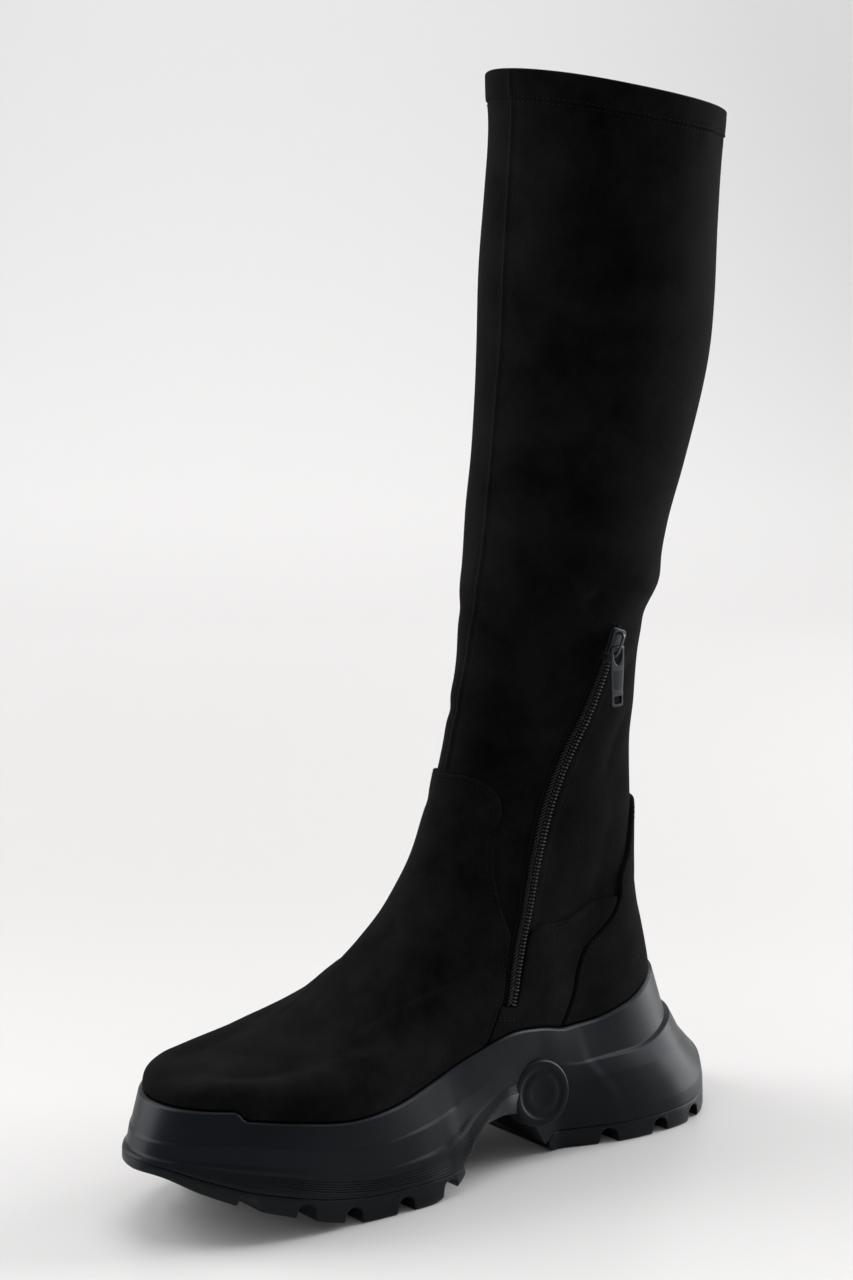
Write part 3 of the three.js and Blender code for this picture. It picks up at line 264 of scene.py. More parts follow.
# Edges of the panels seen from the side, as shares of the last's length and of the instep rise
vamp_edge = table(
    "along up",
    (0.500, 1.003), (0.596, 0.999), (0.613, 0.984), (0.628, 0.950), (0.634, 0.913), (0.633, 0.876),
    (0.625, 0.829), (0.617, 0.769), (0.610, 0.692), (0.608, 0.611), (0.611, 0.546),
)
medial_seam = table("along up", (0.581, 0.223), (0.562, 0.135), (0.540, 0.010))
lateral_seam = table(
    "along up",
    (0.609, 0.450), (0.597, 0.320), (0.581, 0.210), (0.562, 0.120), (0.540, 0.010),
)
quarter_top = table("along up", (0.688, 0.469), (0.735, 0.464), (0.804, 0.502))
counter_edge = table(
    "along up",
    (0.960, 0.826), (0.938, 0.822), (0.924, 0.785), (0.914, 0.725), (0.899, 0.637), (0.877, 0.560),
    (0.874, 0.500), (0.861, 0.447), (0.828, 0.396), (0.789, 0.339), (0.772, 0.270), (0.761, 0.187),
    (0.741, 0.112), (0.715, 0.010),
)
zip_table = table(
    "along back up",
    (0.000, 0.606, 0.227), (0.210, 0.650, 0.494), (0.420, 0.681, 0.758), (0.510, 0.701, 0.879),
    (0.610, 0.727, 0.991), (0.700, 0.755, 1.096), (0.785, 0.781, 1.193), (0.910, 0.812, 1.350),
    (1.000, 0.831, 1.461),
)
groove_table = table(
    "along height",
    (0.104, 0.70), (0.180, 1.00), (0.254, 1.00), (0.338, 1.00), (0.417, 0.95), (0.733, 1.00),
    (0.821, 1.00), (0.897, 1.00),
)
forefoot_span = (0.0, 0.447)
heel_span = (0.640, 1.0)
channel_spans = ((0.14, 0.42), (0.68, 0.93))

# Soft troughs in the shaft, as places behind the middle of the sole and heights, on the medial side
calf_fold = ((56, 226), (60, 230.5), (65, 233), (74, 233.5), (84, 232.6), (97, 230.5))
zip_fold = ((77, 207), (73.9, 202), (65.9, 181.8), (51.8, 158.5), (40.7, 130.9), (33.6, 99.6))
shank_line = ((45.3, 51.3), (57.5, 42.7), (67.9, 28.5), (74.1, 16.4), (77.5, 10.5))


def mix(a, b, t):
    return a + (b - a) * t


def smooth(t):
    t = np.clip(t, 0, 1)
    return t * t * (3 - 2 * t)


def bump(distance, width):
    """Soft hill: 1 at no distance, fading within about two widths."""
    return np.exp(-((distance / width) ** 2))


def between(t, span, start, end, start_slope, end_slope):
    """Smooth curve between two values with a slope at each end."""
    low = (2 * t**3 - 3 * t**2 + 1) * start + (t**3 - 2 * t**2 + t) * span * start_slope
    high = (3 * t**2 - 2 * t**3) * end + (t**3 - t**2) * span * end_slope
    return low + high


def through(rows, column, at):
    """Smooth curve through one column of a table, which never overshoots its rows."""
    xs, ys = rows["along"], rows[column]
    at = np.asarray(at, float)
    rise = np.diff(ys) / np.diff(xs)
    slope = np.zeros_like(ys)
    product = rise[:-1] * rise[1:]
    total = np.where(product > 0, rise[:-1] + rise[1:], 1)
    slope[1:-1] = np.where(product > 0, 2 * product / total, 0)
    k = np.clip(np.searchsorted(xs, at, side="right") - 1, 0, len(xs) - 2)
    span = xs[k + 1] - xs[k]
    t = np.clip((at - xs[k]) / span, 0, 1)
    return between(t, span, ys[k], ys[k + 1], slope[k], slope[k + 1])


def smooth_line(points, steps=6):
    """Rounded line through a few points."""
    points = np.asarray(points, float)
    run = np.linalg.norm(np.diff(points, axis=0), axis=1)
    at = np.concatenate([[0], np.cumsum(run)])
    slope = np.gradient(points, at, axis=0)
    made = []
    for k in range(len(points) - 1):
        for t in np.arange(steps) / steps:
            made.append(between(t, run[k], points[k], points[k + 1], slope[k], slope[k + 1]))
    made.append(points[-1])
    return np.array(made)


def round_end(s, exponent):
    return np.maximum(0, 1 - np.abs(2 * s - 1) ** exponent) ** (1 / exponent)


bend_end_y = last_toe_y + 0.46 * last_length


def bend(y):
    """The centre line swings to the medial side towards the toe."""
    return toe_swing * np.clip((bend_end_y - y) / (bend_end_y - last_toe_y), 0, 1) ** 2


def regular_rim(s):
    return platform_height + rim_rise * through(rim_table, "rise", s)


def rim_height(s):
    return regular_rim(s) + bumper_rise * smooth((bumper_end + bumper_fade - s) / bumper_fade)


def last_share(y):
    return (y - last_toe_y) / last_length


# Rows of the upper
def foot_row(k, level=None):
    row = {column: foot_table[column][k] for column in foot_table}
    return {
        "front": (last_toe_y + row["front"] * last_length, platform_height + row["front_up"] * instep_rise),
        "back": (last_toe_y + row["back"] * last_length, platform_height + row["back_up"] * instep_rise),
        "wave": row["wave"],
        "widths": np.array([row[w] for w in ("w0", "w1", "w2", "w3", "w4")]) * last_half_width,
        "fullness": row["full"] * lateral_fullness,
        "level": level,
    }


def shaft_row(k):
    row = {column: shaft_table[column][k] for column in shaft_table}
    middle_y = ankle_front + ankle_depth / 2 + row["lean"] * shaft_lean
    middle_z = shaft_foot + row["up"] * shaft_rise
    half = row["depth"] * mix(ankle_depth / 0.93, collar_depth, row["up"]) / 2
    lift = row["tilt"] * collar_tilt / 2
    w0, w2, w4 = row["w0"], row["w2"], row["w4"]
    return {
        "front": (middle_y - half, middle_z + lift),
        "back": (middle_y + half, middle_z - lift),
        "wave": 0,
        "widths": np.array([w0, (w0 + w2) / 2, w2, (w2 + w4) / 2, w4]) * collar_width / 2,
        "fullness": 0,
        "level": None,
    }


foot_rows = len(foot_table["front"])
upper_rows = [foot_row(0, "floor"), foot_row(0, "rim")]
upper_rows += [foot_row(k) for k in range(1, foot_rows)]
upper_rows += [shaft_row(k) for k in range(len(shaft_table["up"]))]
stations = np.array([0, 0.25, 0.5, 0.75, 1])
lateral_share = np.array([0, 0.1, 1, 0.4, 0])


def row_point(row, s, side):
    """Points of one row of the upper, at shares of its length on one side."""
    y = mix(row["front"][0], row["back"][0], s)
    halves = row["widths"] + (row["fullness"] * lateral_share if side < 0 else 0)
    exponent = mix(2.2, 2, np.clip(1 - row["wave"], 0, 1))
    half = through({"along": stations, "half": halves}, "half", s) * round_end(s, exponent)
    along = last_share(y)
    if row["level"] == "floor":
        z = regular_rim(along) - cup_depth
    elif row["level"] == "rim":
        z = rim_height(along) + clearance
    else:
        straight = mix(regular_rim(0.0), regular_rim(1.0), s)
        z = mix(row["front"][1], row["back"][1], s) + row["wave"] * (regular_rim(along) - straight)
    return np.stack([bend(y) + side * half, y, z], -1)


def loop_of(shares, point):
    """Loop of points: front end, medial side, back end, lateral side."""
    return np.concatenate([point(shares, 1), point(shares[1:-1][::-1], -1)])


def dense_rows(loops, spacing, last_spacing):
    """More rows between the given ones, on smooth curves through them."""
    gaps = np.linalg.norm(np.diff(loops, axis=0), axis=2).mean(1)
    at = np.concatenate([[0], np.cumsum(gaps)])
    slope = np.gradient(loops, at, axis=0)
    made, marks = [], []
    for k, gap in enumerate(gaps):
        marks.append(len(made))
        count = max(2, round(gap / (last_spacing if k == len(gaps) - 1 else spacing)))
        for t in np.arange(count) / count:
            made.append(between(t, gap, loops[k], loops[k + 1], slope[k], slope[k + 1]))
    marks.append(len(made))
    made.append(loops[-1])
    return np.array(made), marks


def grid_normals(grid):
    around = np.roll(grid, -1, 1) - np.roll(grid, 1, 1)
    up = np.gradient(grid, axis=0)
    normal = np.cross(around, up)
    return normal / np.linalg.norm(normal, axis=2, keepdims=True)


def offset_in_plan(loop, distance):
    """A loop moved outwards level with the floor."""
    run = np.roll(loop, -1, 0) - np.roll(loop, 1, 0)
    across = np.stack([run[:, 1], -run[:, 0], np.zeros(len(loop))], -1)
    return loop + across / np.linalg.norm(across, axis=1, keepdims=True) * np.reshape(distance, (-1, 1))


def from_line(points, line):
    """Distance of points from a line and the share of its length at the nearest place."""
    line = np.asarray(line, float)
    run = np.linalg.norm(np.diff(line, axis=0), axis=1)
    start = np.concatenate([[0], np.cumsum(run)])
    best = np.full(len(points), 1e9)
    share = np.zeros(len(points))
    for k in range(len(line) - 1):
        step = line[k + 1] - line[k]
        t = np.clip((points - line[k]) @ step / (step @ step), 0, 1)
        away = np.linalg.norm(points - line[k] - t[:, None] * step, axis=1)
        nearer = away < best
        best[nearer] = away[nearer]
        share[nearer] = (start[k] + t[nearer] * run[k]) / start[-1]
    return best, share


def inside_by(points, outline):
    """Distance inside a closed outline, negative outside it."""
    outline = np.asarray(outline, float)
    away = from_line(points, np.vstack([outline, outline[:1]]))[0]
    inside = np.zeros(len(points), bool)
    for (y0, z0), (y1, z1) in zip(outline, np.roll(outline, -1, 0)):
        if z0 == z1:
            continue
        crosses = (z0 > points[:, 1]) != (z1 > points[:, 1])
        inside ^= crosses & (points[:, 0] < y0 + (points[:, 1] - z0) * (y1 - y0) / (z1 - z0))
    return np.where(inside, away, -away)


def side_points(rows):
    """Places seen from the side, from a table of shares."""
    y = last_toe_y + rows["along"] * last_length
    return np.stack([y, platform_height + rows["up"] * instep_rise], -1)


def zip_centre(t):
    """Middle of the zip seen from the side; it runs on straight past its ends."""
    inside = np.clip(t, 0, 1)
    y = last_toe_y + through(zip_table, "back", inside) * last_length
    z = platform_height + through(zip_table, "up", inside) * instep_rise
    beyond = (t - inside) * 156
    return np.stack([y + 0.38 * beyond, z + 0.92 * beyond], -1)


def zip_line(shares, distance):
    """Line beside the zip; distance is to the back."""
    shares = np.asarray(shares, float)
    run = zip_centre(shares + 0.01) - zip_centre(shares - 0.01)
    run /= np.linalg.norm(run, axis=1, keepdims=True)
    return zip_centre(shares) + np.stack([run[:, 1], -run[:, 0]], -1) * np.reshape(distance, (-1, 1))


# Meshes and finished pieces
def grid_faces(rows, columns, closed_rows=False):
    """Quads of a grid of points that closes round its columns."""
    i = np.arange(rows if closed_rows else rows - 1)
    i, j = (a.ravel() for a in np.meshgrid(i, np.arange(columns), indexing="ij"))
    this, above, onward = i * columns, (i + 1) % rows * columns, (j + 1) % columns
    return np.stack([this + j, this + onward, above + onward, above + j], -1)


def strip_cap(start, count):
    """Quads across a loop that starts at its tip."""
    i = np.arange(count // 2)
    return start + np.stack([i, i + 1, (count - i - 1) % count, (count - i) % count], -1)


def ring_mesh(rings):
    """Points and faces of a closed piece from a row of rings, each of them its own flat end."""
    count, size = rings.shape[:2]
    ends = [np.arange(size), (count - 1) * size + np.arange(size)]
    return rings.reshape(-1, 3), [*grid_faces(count, size), *ends]


def stack_mesh(loops):
    """Points and faces of a closed piece from a stack of loops."""
    levels, count = loops.shape[:2]
    faces = [*grid_faces(levels, count), *strip_cap(0, count), *strip_cap((levels - 1) * count, count)]
    return loops.reshape(-1, 3), faces


def add_piece(name, points, faces, materials, body="boot", slot=None, stands_for=(), inner_from=None):
    """One finished piece: merged, turned outwards, smooth, in place and riding on its body."""
    mesh = bpy.data.meshes.new(name)
    placed = (np.asarray(points, float) + to_frame) / 1000
    mesh.from_pydata(placed.tolist(), [], [[int(i) for i in face] for face in faces])
    for material in materials:
        mesh.materials.append(material)
    if inner_from is not None:
        index = np.zeros(len(mesh.polygons), np.int32)
        index[inner_from:] = 1
        mesh.polygons.foreach_set("material_index", index)
    shape = bmesh.new()
    shape.from_mesh(mesh)
    bmesh.ops.remove_doubles(shape, verts=shape.verts, dist=2e-6)
    bmesh.ops.dissolve_degenerate(shape, edges=shape.edges, dist=1e-6)
    bmesh.ops.recalc_face_normals(shape, faces=shape.faces)
    for face in shape.faces:
        face.smooth = True
    shape.to_mesh(mesh)
    shape.free()
    place_piece(name, mesh, body, stands_for)


def in_scene(name, data):
    """New object in the scene."""
    thing = bpy.data.objects.new(name, data)
    bpy.context.scene.collection.objects.link(thing)
    return thing


def made_mesh(holder):
    """Mesh of an object with its modifiers or curves carried out; the object is removed."""
    mesh = bpy.data.meshes.new_from_object(holder.evaluated_get(bpy.context.evaluated_depsgraph_get()))
    bpy.data.objects.remove(holder)
    return mesh


def place_piece(name, mesh, body, stands_for):
    """The mesh as a visible piece that rides on its body."""
    piece = in_scene(name, mesh)
    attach(piece, body)
    if stands_for:
        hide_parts(*stands_for)


# Materials
def add_node(tree, kind, **values):
    """New node; keys of values are its settings, or its inputs by name."""
    node = tree.nodes.new(kind)
    for key, value in values.items():
        if key in node.bl_rna.properties:
            setattr(node, key, value)
            continue
        socket = node.inputs[key.replace("_", " ")]
        if isinstance(value, bpy.types.NodeSocket):
            tree.links.new(value, socket)
        else:
            socket.default_value = value
    return node


def calculate(tree, operation, first, second=0.0, clamp=False):
    node = tree.nodes.new("ShaderNodeMath")
    node.operation = operation
    node.use_clamp = clamp
    for socket, value in zip(node.inputs, (first, second)):
        if isinstance(value, bpy.types.NodeSocket):
            tree.links.new(value, socket)
        else:
            socket.default_value = value
    return node.outputs[0]


def surface_group(name, sizes, build):
    """Shared surface effect with named sizes; it gives a shade and a height."""
    tree = bpy.data.node_groups.new(name, "ShaderNodeTree")
    for label, value in sizes.items():
        tree.interface.new_socket(label, in_out="INPUT", socket_type="NodeSocketFloat").default_value = value
    for label in ("Shade", "Height"):
        tree.interface.new_socket(label, in_out="OUTPUT", socket_type="NodeSocketFloat")
    inputs = tree.nodes.new("NodeGroupInput").outputs
    outputs = tree.nodes.new("NodeGroupOutput").inputs
    place = tree.nodes.new("ShaderNodeTexCoord").outputs["Object"]
    shade, height = build(tree, inputs, place)
    tree.links.new(shade, outputs["Shade"])
    tree.links.new(height, outputs["Height"])
    return tree


def noise(tree, place, scale, detail=3.0, roughness=0.55):
    node = add_node(tree, "ShaderNodeTexNoise", Vector=place, Scale=scale, Detail=detail, Roughness=roughness)
    return node.outputs["Fac"]


def around_middle(tree, value, amount):
    """A 0 to 1 value spread about its middle by an amount."""
    return calculate(tree, "MULTIPLY", calculate(tree, "SUBTRACT", value, 0.5), amount)


def weighted(tree, first, first_weight, second, second_weight):
    """Sum of two values, each with its weight."""
    parts = [
        calculate(tree, "MULTIPLY", value, weight)
        for value, weight in ((first, first_weight), (second, second_weight))
    ]
    return calculate(tree, "ADD", *parts)


def suede_nap(tree, inputs, place):
    """Brushed fibres with soft patches where the nap lies another way."""
    patches = noise(tree, place, inputs["Patches"], 5.0, 0.6)
    streaks = add_node(tree, "ShaderNodeMapping", Vector=place, Scale=(1.0, 1.0, 0.45)).outputs[0]
    fibres = noise(tree, streaks, inputs["Fibres"], 4.0, 0.7)
    grains = noise(tree, place, calculate(tree, "MULTIPLY", inputs["Fibres"], 0.3), 3.0)
    soft = around_middle(tree, patches, inputs["Contrast"])
    fine = around_middle(tree, fibres, 0.7)
    shade = calculate(tree, "ADD", calculate(tree, "ADD", soft, fine), 0.5, clamp=True)
    height = calculate(tree, "ADD", fibres, calculate(tree, "MULTIPLY", grains, 0.6))
    return shade, height


def moulded_skin(tree, inputs, place):
    """Moulded foam or rubber: slight clouding and a fine matt grain."""
    clouds = noise(tree, place, inputs["Clouds"], 4.0)
    grain = noise(tree, place, inputs["Grain"], 2.0)
    shade = calculate(tree, "ADD", around_middle(tree, clouds, 1.3), 0.5, clamp=True)
    return shade, calculate(tree, "ADD", grain, calculate(tree, "MULTIPLY", clouds, 0.5))


def woven_cloth(tree, inputs, place):
    """Threads that cross over and under."""
    turned = add_node(tree, "ShaderNodeMapping", Vector=place, Rotation=(0.6, 0.5, 0.78)).outputs[0]
    parts = add_node(tree, "ShaderNodeSeparateXYZ", Vector=turned).outputs
    waves = []
    for part in parts[:2]:
        angle = calculate(tree, "MULTIPLY", part, inputs["Threads"])
        waves.append(calculate(tree, "ABSOLUTE", calculate(tree, "SINE", angle)))
    height = calculate(tree, "MAXIMUM", *waves)
    fuzz = noise(tree, place, calculate(tree, "MULTIPLY", inputs["Threads"], 0.8), 2.0)
    return weighted(tree, height, 0.5, fuzz, 0.5), height


def handled_metal(tree, inputs, place):
    """Plated metal with fine brushing and duller spots from handling."""
    drawn = add_node(tree, "ShaderNodeMapping", Vector=place, Scale=(1.0, 4.0, 0.35)).outputs[0]
    brushing = noise(tree, drawn, inputs["Brushing"], 3.0)
    spots = noise(tree, place, inputs["Spots"], 4.0, 0.65)
    return weighted(tree, brushing, 0.4, spots, 0.6), brushing


groups = {
    "suede": surface_group("suede nap", {"Patches": 38.0, "Fibres": 1500.0, "Contrast": 2.3}, suede_nap),
    "moulded": surface_group("moulded skin", {"Clouds": 26.0, "Grain": 1900.0}, moulded_skin),
    "woven": surface_group("woven cloth", {"Threads": 7000.0}, woven_cloth),
    "metal": surface_group("handled metal", {"Brushing": 900.0, "Spots": 420.0}, handled_metal),
}


def make_material(name, effect, dark, light, rough, relief, sizes=None, uniform=None):
    """Material whose colour and roughness run between two values with the effect's shade.
    The relief is in millimetres."""
    material = bpy.data.materials.new(name)
    material.use_nodes = True
    tree = material.node_tree
    shader = tree.nodes["Principled BSDF"]
    surface = add_node(tree, "ShaderNodeGroup", node_tree=groups[effect])
    for label, value in (sizes or {}).items():
        surface.inputs[label].default_value = value
    shade = surface.outputs["Shade"]
    tones = add_node(tree, "ShaderNodeMix", data_type="RGBA")
    tree.links.new(shade, tones.inputs[0])
    tones.inputs[6].default_value = (*dark, 1)
    tones.inputs[7].default_value = (*light, 1)
    tree.links.new(tones.outputs[2], shader.inputs["Base Color"])
    spread = add_node(tree, "ShaderNodeMapRange", To_Min=rough[0], To_Max=rough[1])
    tree.links.new(shade, spread.inputs[0])
    tree.links.new(spread.outputs[0], shader.inputs["Roughness"])
    lumps = add_node(tree, "ShaderNodeBump", Distance=relief / 1000, Height=surface.outputs["Height"])
    tree.links.new(lumps.outputs[0], shader.inputs["Normal"])
    for label, value in (uniform or {}).items():
        shader.inputs[label].default_value = value
    return material


velvet = {"Sheen Weight": 0.008, "Sheen Roughness": 0.4, "Specular IOR Level": 0.03}
shaft_suede = make_material(
    "shaft suede", "suede", (0.0012, 0.0012, 0.0015), (0.0074, 0.0070, 0.0079), (0.88, 1.0), 0.16,
    uniform=velvet,
)
panel_suede = make_material(
    "panel suede", "suede", (0.0014, 0.0014, 0.0017), (0.0080, 0.0075, 0.0083), (0.86, 1.0), 0.18,
    sizes={"Patches": 52.0, "Fibres": 1300.0}, uniform=velvet,
)
lining_knit = make_material(
    "lining knit", "woven", (0.004, 0.004, 0.005), (0.011, 0.011, 0.012), (0.85, 1.0), 0.2,
    sizes={"Threads": 5200.0}, uniform={"Sheen Weight": 0.05, "Specular IOR Level": 0.15},
)
midsole_foam = make_material(
    "midsole foam", "moulded", (0.0022, 0.0029, 0.0041), (0.0042, 0.0051, 0.0067), (0.32, 0.42), 0.05,
    uniform={"Specular IOR Level": 0.14, "Specular Tint": (0.80, 0.90, 1.0, 1)},
)
outsole_rubber = make_material(
    "outsole rubber", "moulded", (0.0022, 0.0027, 0.0036), (0.0042, 0.0049, 0.0062), (0.34, 0.44), 0.06,
    sizes={"Clouds": 34.0, "Grain": 1500.0},
    uniform={"Specular IOR Level": 0.15, "Specular Tint": (0.84, 0.92, 1.0, 1)},
)
insole_cloth = make_material(
    "insole cloth", "woven", (0.006, 0.006, 0.007), (0.018, 0.018, 0.020), (0.85, 1.0), 0.2,
    uniform={"Specular IOR Level": 0.15},
)
tape_weave = make_material(
    "tape weave", "woven", (0.0012, 0.0012, 0.0016), (0.0046, 0.0046, 0.0054), (0.75, 0.95), 0.15,
    sizes={"Threads": 9500.0}, uniform={"Specular IOR Level": 0.1},
)
coil_nylon = make_material(
    "coil nylon", "moulded", (0.0056, 0.0065, 0.0078), (0.0098, 0.0112, 0.0130), (0.36, 0.48), 0.01,
    uniform={"Specular IOR Level": 0.3},
)
coil_bed = make_material(
    "coil bed", "woven", (0.0010, 0.0010, 0.0013), (0.0036, 0.0036, 0.0042), (0.8, 0.95), 0.08,
    uniform={"Specular IOR Level": 0.05},
)
zip_metal = make_material(
    "zip metal", "metal", (0.031, 0.034, 0.038), (0.056, 0.060, 0.066), (0.24, 0.40), 0.01,
    uniform={"Metallic": 0.85},
)
# This darker metal is also the painted shade on the pull's face.
slider_metal_and_pull_shade = make_material(
    "slider metal and pull shade", "metal", (0.014, 0.016, 0.019), (0.026, 0.028, 0.032), (0.28, 0.42), 0.01,
    uniform={"Metallic": 0.7, "Specular IOR Level": 0.4},
)
thread = make_material(
    "thread", "woven", (0.0020, 0.0020, 0.0025), (0.0070, 0.0068, 0.0076), (0.7, 0.9), 0.05,
    sizes={"Threads": 14000.0}, uniform={"Specular IOR Level": 0.12},
)


# Rows of small repeated pieces: stitches and zip teeth
def row_tree():
    """Sets one rounded piece at every step along the lines of a mesh, turned to the line and outwards."""
    tree = bpy.data.node_groups.new("row of pieces", "GeometryNodeTree")
    face = tree.interface
    face.new_socket("Geometry", in_out="INPUT", socket_type="NodeSocketGeometry")
    for label in ("Pitch", "Length", "Width", "Height", "Turn", "Unevenness"):
        face.new_socket(label, in_out="INPUT", socket_type="NodeSocketFloat")
    face.new_socket("Seed", in_out="INPUT", socket_type="NodeSocketInt")
    face.new_socket("Material", in_out="INPUT", socket_type="NodeSocketMaterial")
    face.new_socket("Geometry", in_out="OUTPUT", socket_type="NodeSocketGeometry")
    given = tree.nodes.new("NodeGroupInput").outputs
    line = add_node(tree, "GeometryNodeMeshToCurve", Mesh=given["Geometry"]).outputs[0]
    steps = add_node(tree, "GeometryNodeResampleCurve", mode="LENGTH", Curve=line, Length=given["Pitch"])
    outward = add_node(
        tree, "GeometryNodeInputNamedAttribute", data_type="FLOAT_VECTOR", Name="outward"
    ).outputs[0]
    tangent = tree.nodes.new("GeometryNodeInputTangent").outputs[0]
    facing = add_node(tree, "FunctionNodeAxesToRotation", primary_axis="Z", secondary_axis="X")
    tree.links.new(outward, facing.inputs[0])
    tree.links.new(tangent, facing.inputs[1])
    spin = add_node(tree, "FunctionNodeAxisAngleToRotation", Axis=(0, 0, 1), Angle=given["Turn"])
    turned = add_node(tree, "FunctionNodeRotateRotation", rotation_space="LOCAL")
    tree.links.new(facing.outputs[0], turned.inputs[0])
    tree.links.new(spin.outputs[0], turned.inputs[1])
    x, y, z = (calculate(tree, "MULTIPLY", given[label], 0.5) for label in ("Length", "Width", "Height"))
    size = add_node(tree, "ShaderNodeCombineXYZ", X=x, Y=y, Z=z).outputs[0]
    chance = add_node(tree, "FunctionNodeRandomValue", data_type="FLOAT", Seed=given["Seed"])
    tree.links.new(calculate(tree, "SUBTRACT", 1.0, given["Unevenness"]), chance.inputs[2])
    chance.inputs[3].default_value = 1.0
    scale = add_node(
        tree, "ShaderNodeVectorMath", operation="SCALE", Vector=size, Scale=chance.outputs[1]
    ).outputs[0]
    bead = add_node(tree, "GeometryNodeMeshUVSphere", Segments=8, Rings=5).outputs[0]
    placed = add_node(
        tree, "GeometryNodeInstanceOnPoints",
        Points=steps.outputs[0], Instance=bead, Rotation=turned.outputs[0], Scale=scale,
    ).outputs[0]
    real = add_node(tree, "GeometryNodeRealizeInstances", Geometry=placed).outputs[0]
    rounded = add_node(tree, "GeometryNodeSetShadeSmooth", Geometry=real).outputs[0]
    dressed = add_node(tree, "GeometryNodeSetMaterial", Geometry=rounded, Material=given["Material"])
    tree.links.new(dressed.outputs[0], tree.nodes.new("NodeGroupOutput").inputs[0])
    return tree


row_of_pieces = row_tree()


def add_rows(name, lines, sizes, material, stands_for=()):
    """Rows of pieces along lines, each given as points and outward directions; sizes are in millimetres."""
    points, outward, edges = [], [], []
    for line_points, line_outward in lines:
        first = len(points)
        points += ((np.asarray(line_points) + to_frame) / 1000).tolist()
        outward += np.asarray(line_outward).tolist()
        edges += [(k, k + 1) for k in range(first, len(points) - 1)]
    mesh = bpy.data.meshes.new(name + " lines")
    mesh.from_pydata(points, edges, [])
    directions = mesh.attributes.new("outward", "FLOAT_VECTOR", "POINT")
    directions.data.foreach_set("vector", np.asarray(outward, np.float32).ravel())
    holder = in_scene(name + " lines", mesh)
    rows = holder.modifiers.new("rows", "NODES")
    rows.node_group = row_of_pieces
    values = {**{label: value / 1000 for label, value in sizes.items()}, "Unevenness": 0.14, "Seed": 7}
    values["Turn"] = math.radians(sizes.get("Turn", 0))
    values["Material"] = material
    for socket in row_of_pieces.interface.items_tree:
        if socket.in_out == "INPUT" and socket.name in values:
            rows[socket.identifier] = values[socket.name]
    made = made_mesh(holder)
    made.name = name
    place_piece(name, made, "boot", stands_for)


# Skin of the upper, as dense rows of loops
near_seam = [0.0014, 0.0029, 0.0045, 0.0062]
turns = np.sort(np.concatenate([np.linspace(0, 1, 105), near_seam]))
upper_shares = (1 - np.cos(np.pi * turns)) / 2
upper_loops = np.array([
    loop_of(upper_shares, lambda s, side: row_point(row, s, side)) for row in upper_rows
])
upper_skin, row_marks = dense_rows(upper_loops, row_spacing, hem_spacing)
first_soft, last_soft = row_marks[2] + 3, row_marks[4 + foot_rows]
softened = np.zeros((len(upper_skin), 1))
soft_rows = np.arange(first_soft, last_soft)
softened[soft_rows, 0] = smooth((soft_rows - first_soft) / 9) * smooth((last_soft - soft_rows) / 14)
front_part = smooth((45 - upper_skin[:, :, 1]) / 55)

# The vamp's sections are rounded: full above the rim and round over the instep
own_y, own_z = upper_skin[:, :, 1], upper_skin[:, :, 2]
turned_in = np.arange(upper_skin.shape[1]) >= len(upper_shares)
rim_row = upper_skin[row_marks[1]]
slices = np.arange(last_toe_y, 14, 2.0)
medial_rows = upper_skin[row_marks[1]:last_soft, : len(upper_shares)]
slice_tops = np.max([
    np.interp(slices, row[:, 1], row[:, 2], left=0, right=0) for row in medial_rows
], axis=0)
slice_tops[1:-1] = (slice_tops[:-2] + 2 * slice_tops[1:-1] + slice_tops[2:]) / 4
rim_z = rim_height(last_share(own_y)) + clearance
rise = np.maximum(np.interp(own_y, slices, slice_tops) - rim_z, 1)
half_at_rim = np.zeros(own_y.shape)
for side, columns in ((1, ~turned_in), (-1, turned_in)):
    edge_points = rim_row[columns][::side]
    half = side * (edge_points[:, 0] - bend(edge_points[:, 1]))
    half_at_rim[:, columns] = np.interp(own_y[:, columns], edge_points[:, 1], half)
half_at_rim = np.maximum(half_at_rim, 1)
out_share = np.abs(upper_skin[:, :, 0] - bend(own_y)) / half_at_rim
up_share = np.maximum(own_z - rim_z, 0) / rise
fullness = 2.2
length = np.maximum(out_share**fullness + up_share**fullness, 1e-6) ** (1 / fullness)
vamp_part = smooth((8 - own_y) / 48) * softened * smooth((own_y - last_toe_y - 1) / 8)
round_x = bend(own_y) + np.where(turned_in, -1, 1) * half_at_rim * out_share / length
round_z = rim_z + rise * up_share / length
upper_skin[:, :, 0] += vamp_part * (round_x - upper_skin[:, :, 0])
upper_skin[:, :, 2] += vamp_part * (round_z - upper_skin[:, :, 2])
softening_rounds = 30
for _ in range(softening_rounds):
    for axis, amount in ((0, 1), (1, front_part)):
        across = upper_skin[:, :, 0]
        average = (np.roll(across, 1, axis) + np.roll(across, -1, axis)) / 2
        upper_skin[:, :, 0] += 0.5 * softened * amount * (average - across)
near_collar = smooth((upper_skin[:, :, 2] - 380) / 50)
upper_skin[:, :, 2] += collar_arc * bump(upper_skin[:, :, 1] - 38, 34) * near_collar
upper_out = grid_normals(upper_skin)
column_count = upper_skin.shape[1]
medial_columns = np.arange(column_count) < len(upper_shares)

steps_up = np.linalg.norm(np.diff(upper_skin, axis=0), axis=2)
below_top = np.concatenate([np.cumsum(steps_up[::-1], 0)[::-1], np.zeros((1, column_count))])
front_distance = upper_skin[:, :, 0] - bend(upper_skin[:, :, 1])
loop_shares = np.concatenate([upper_shares, upper_shares[1:-1][::-1]])
in_front = np.tile(loop_shares < 0.2, (len(upper_skin), 1))


# Swellings at the back of the shaft: height, level and width
back_swells = ((1.7, 234, 8), (-0.7, 219, 6), (1.3, 188, 26))


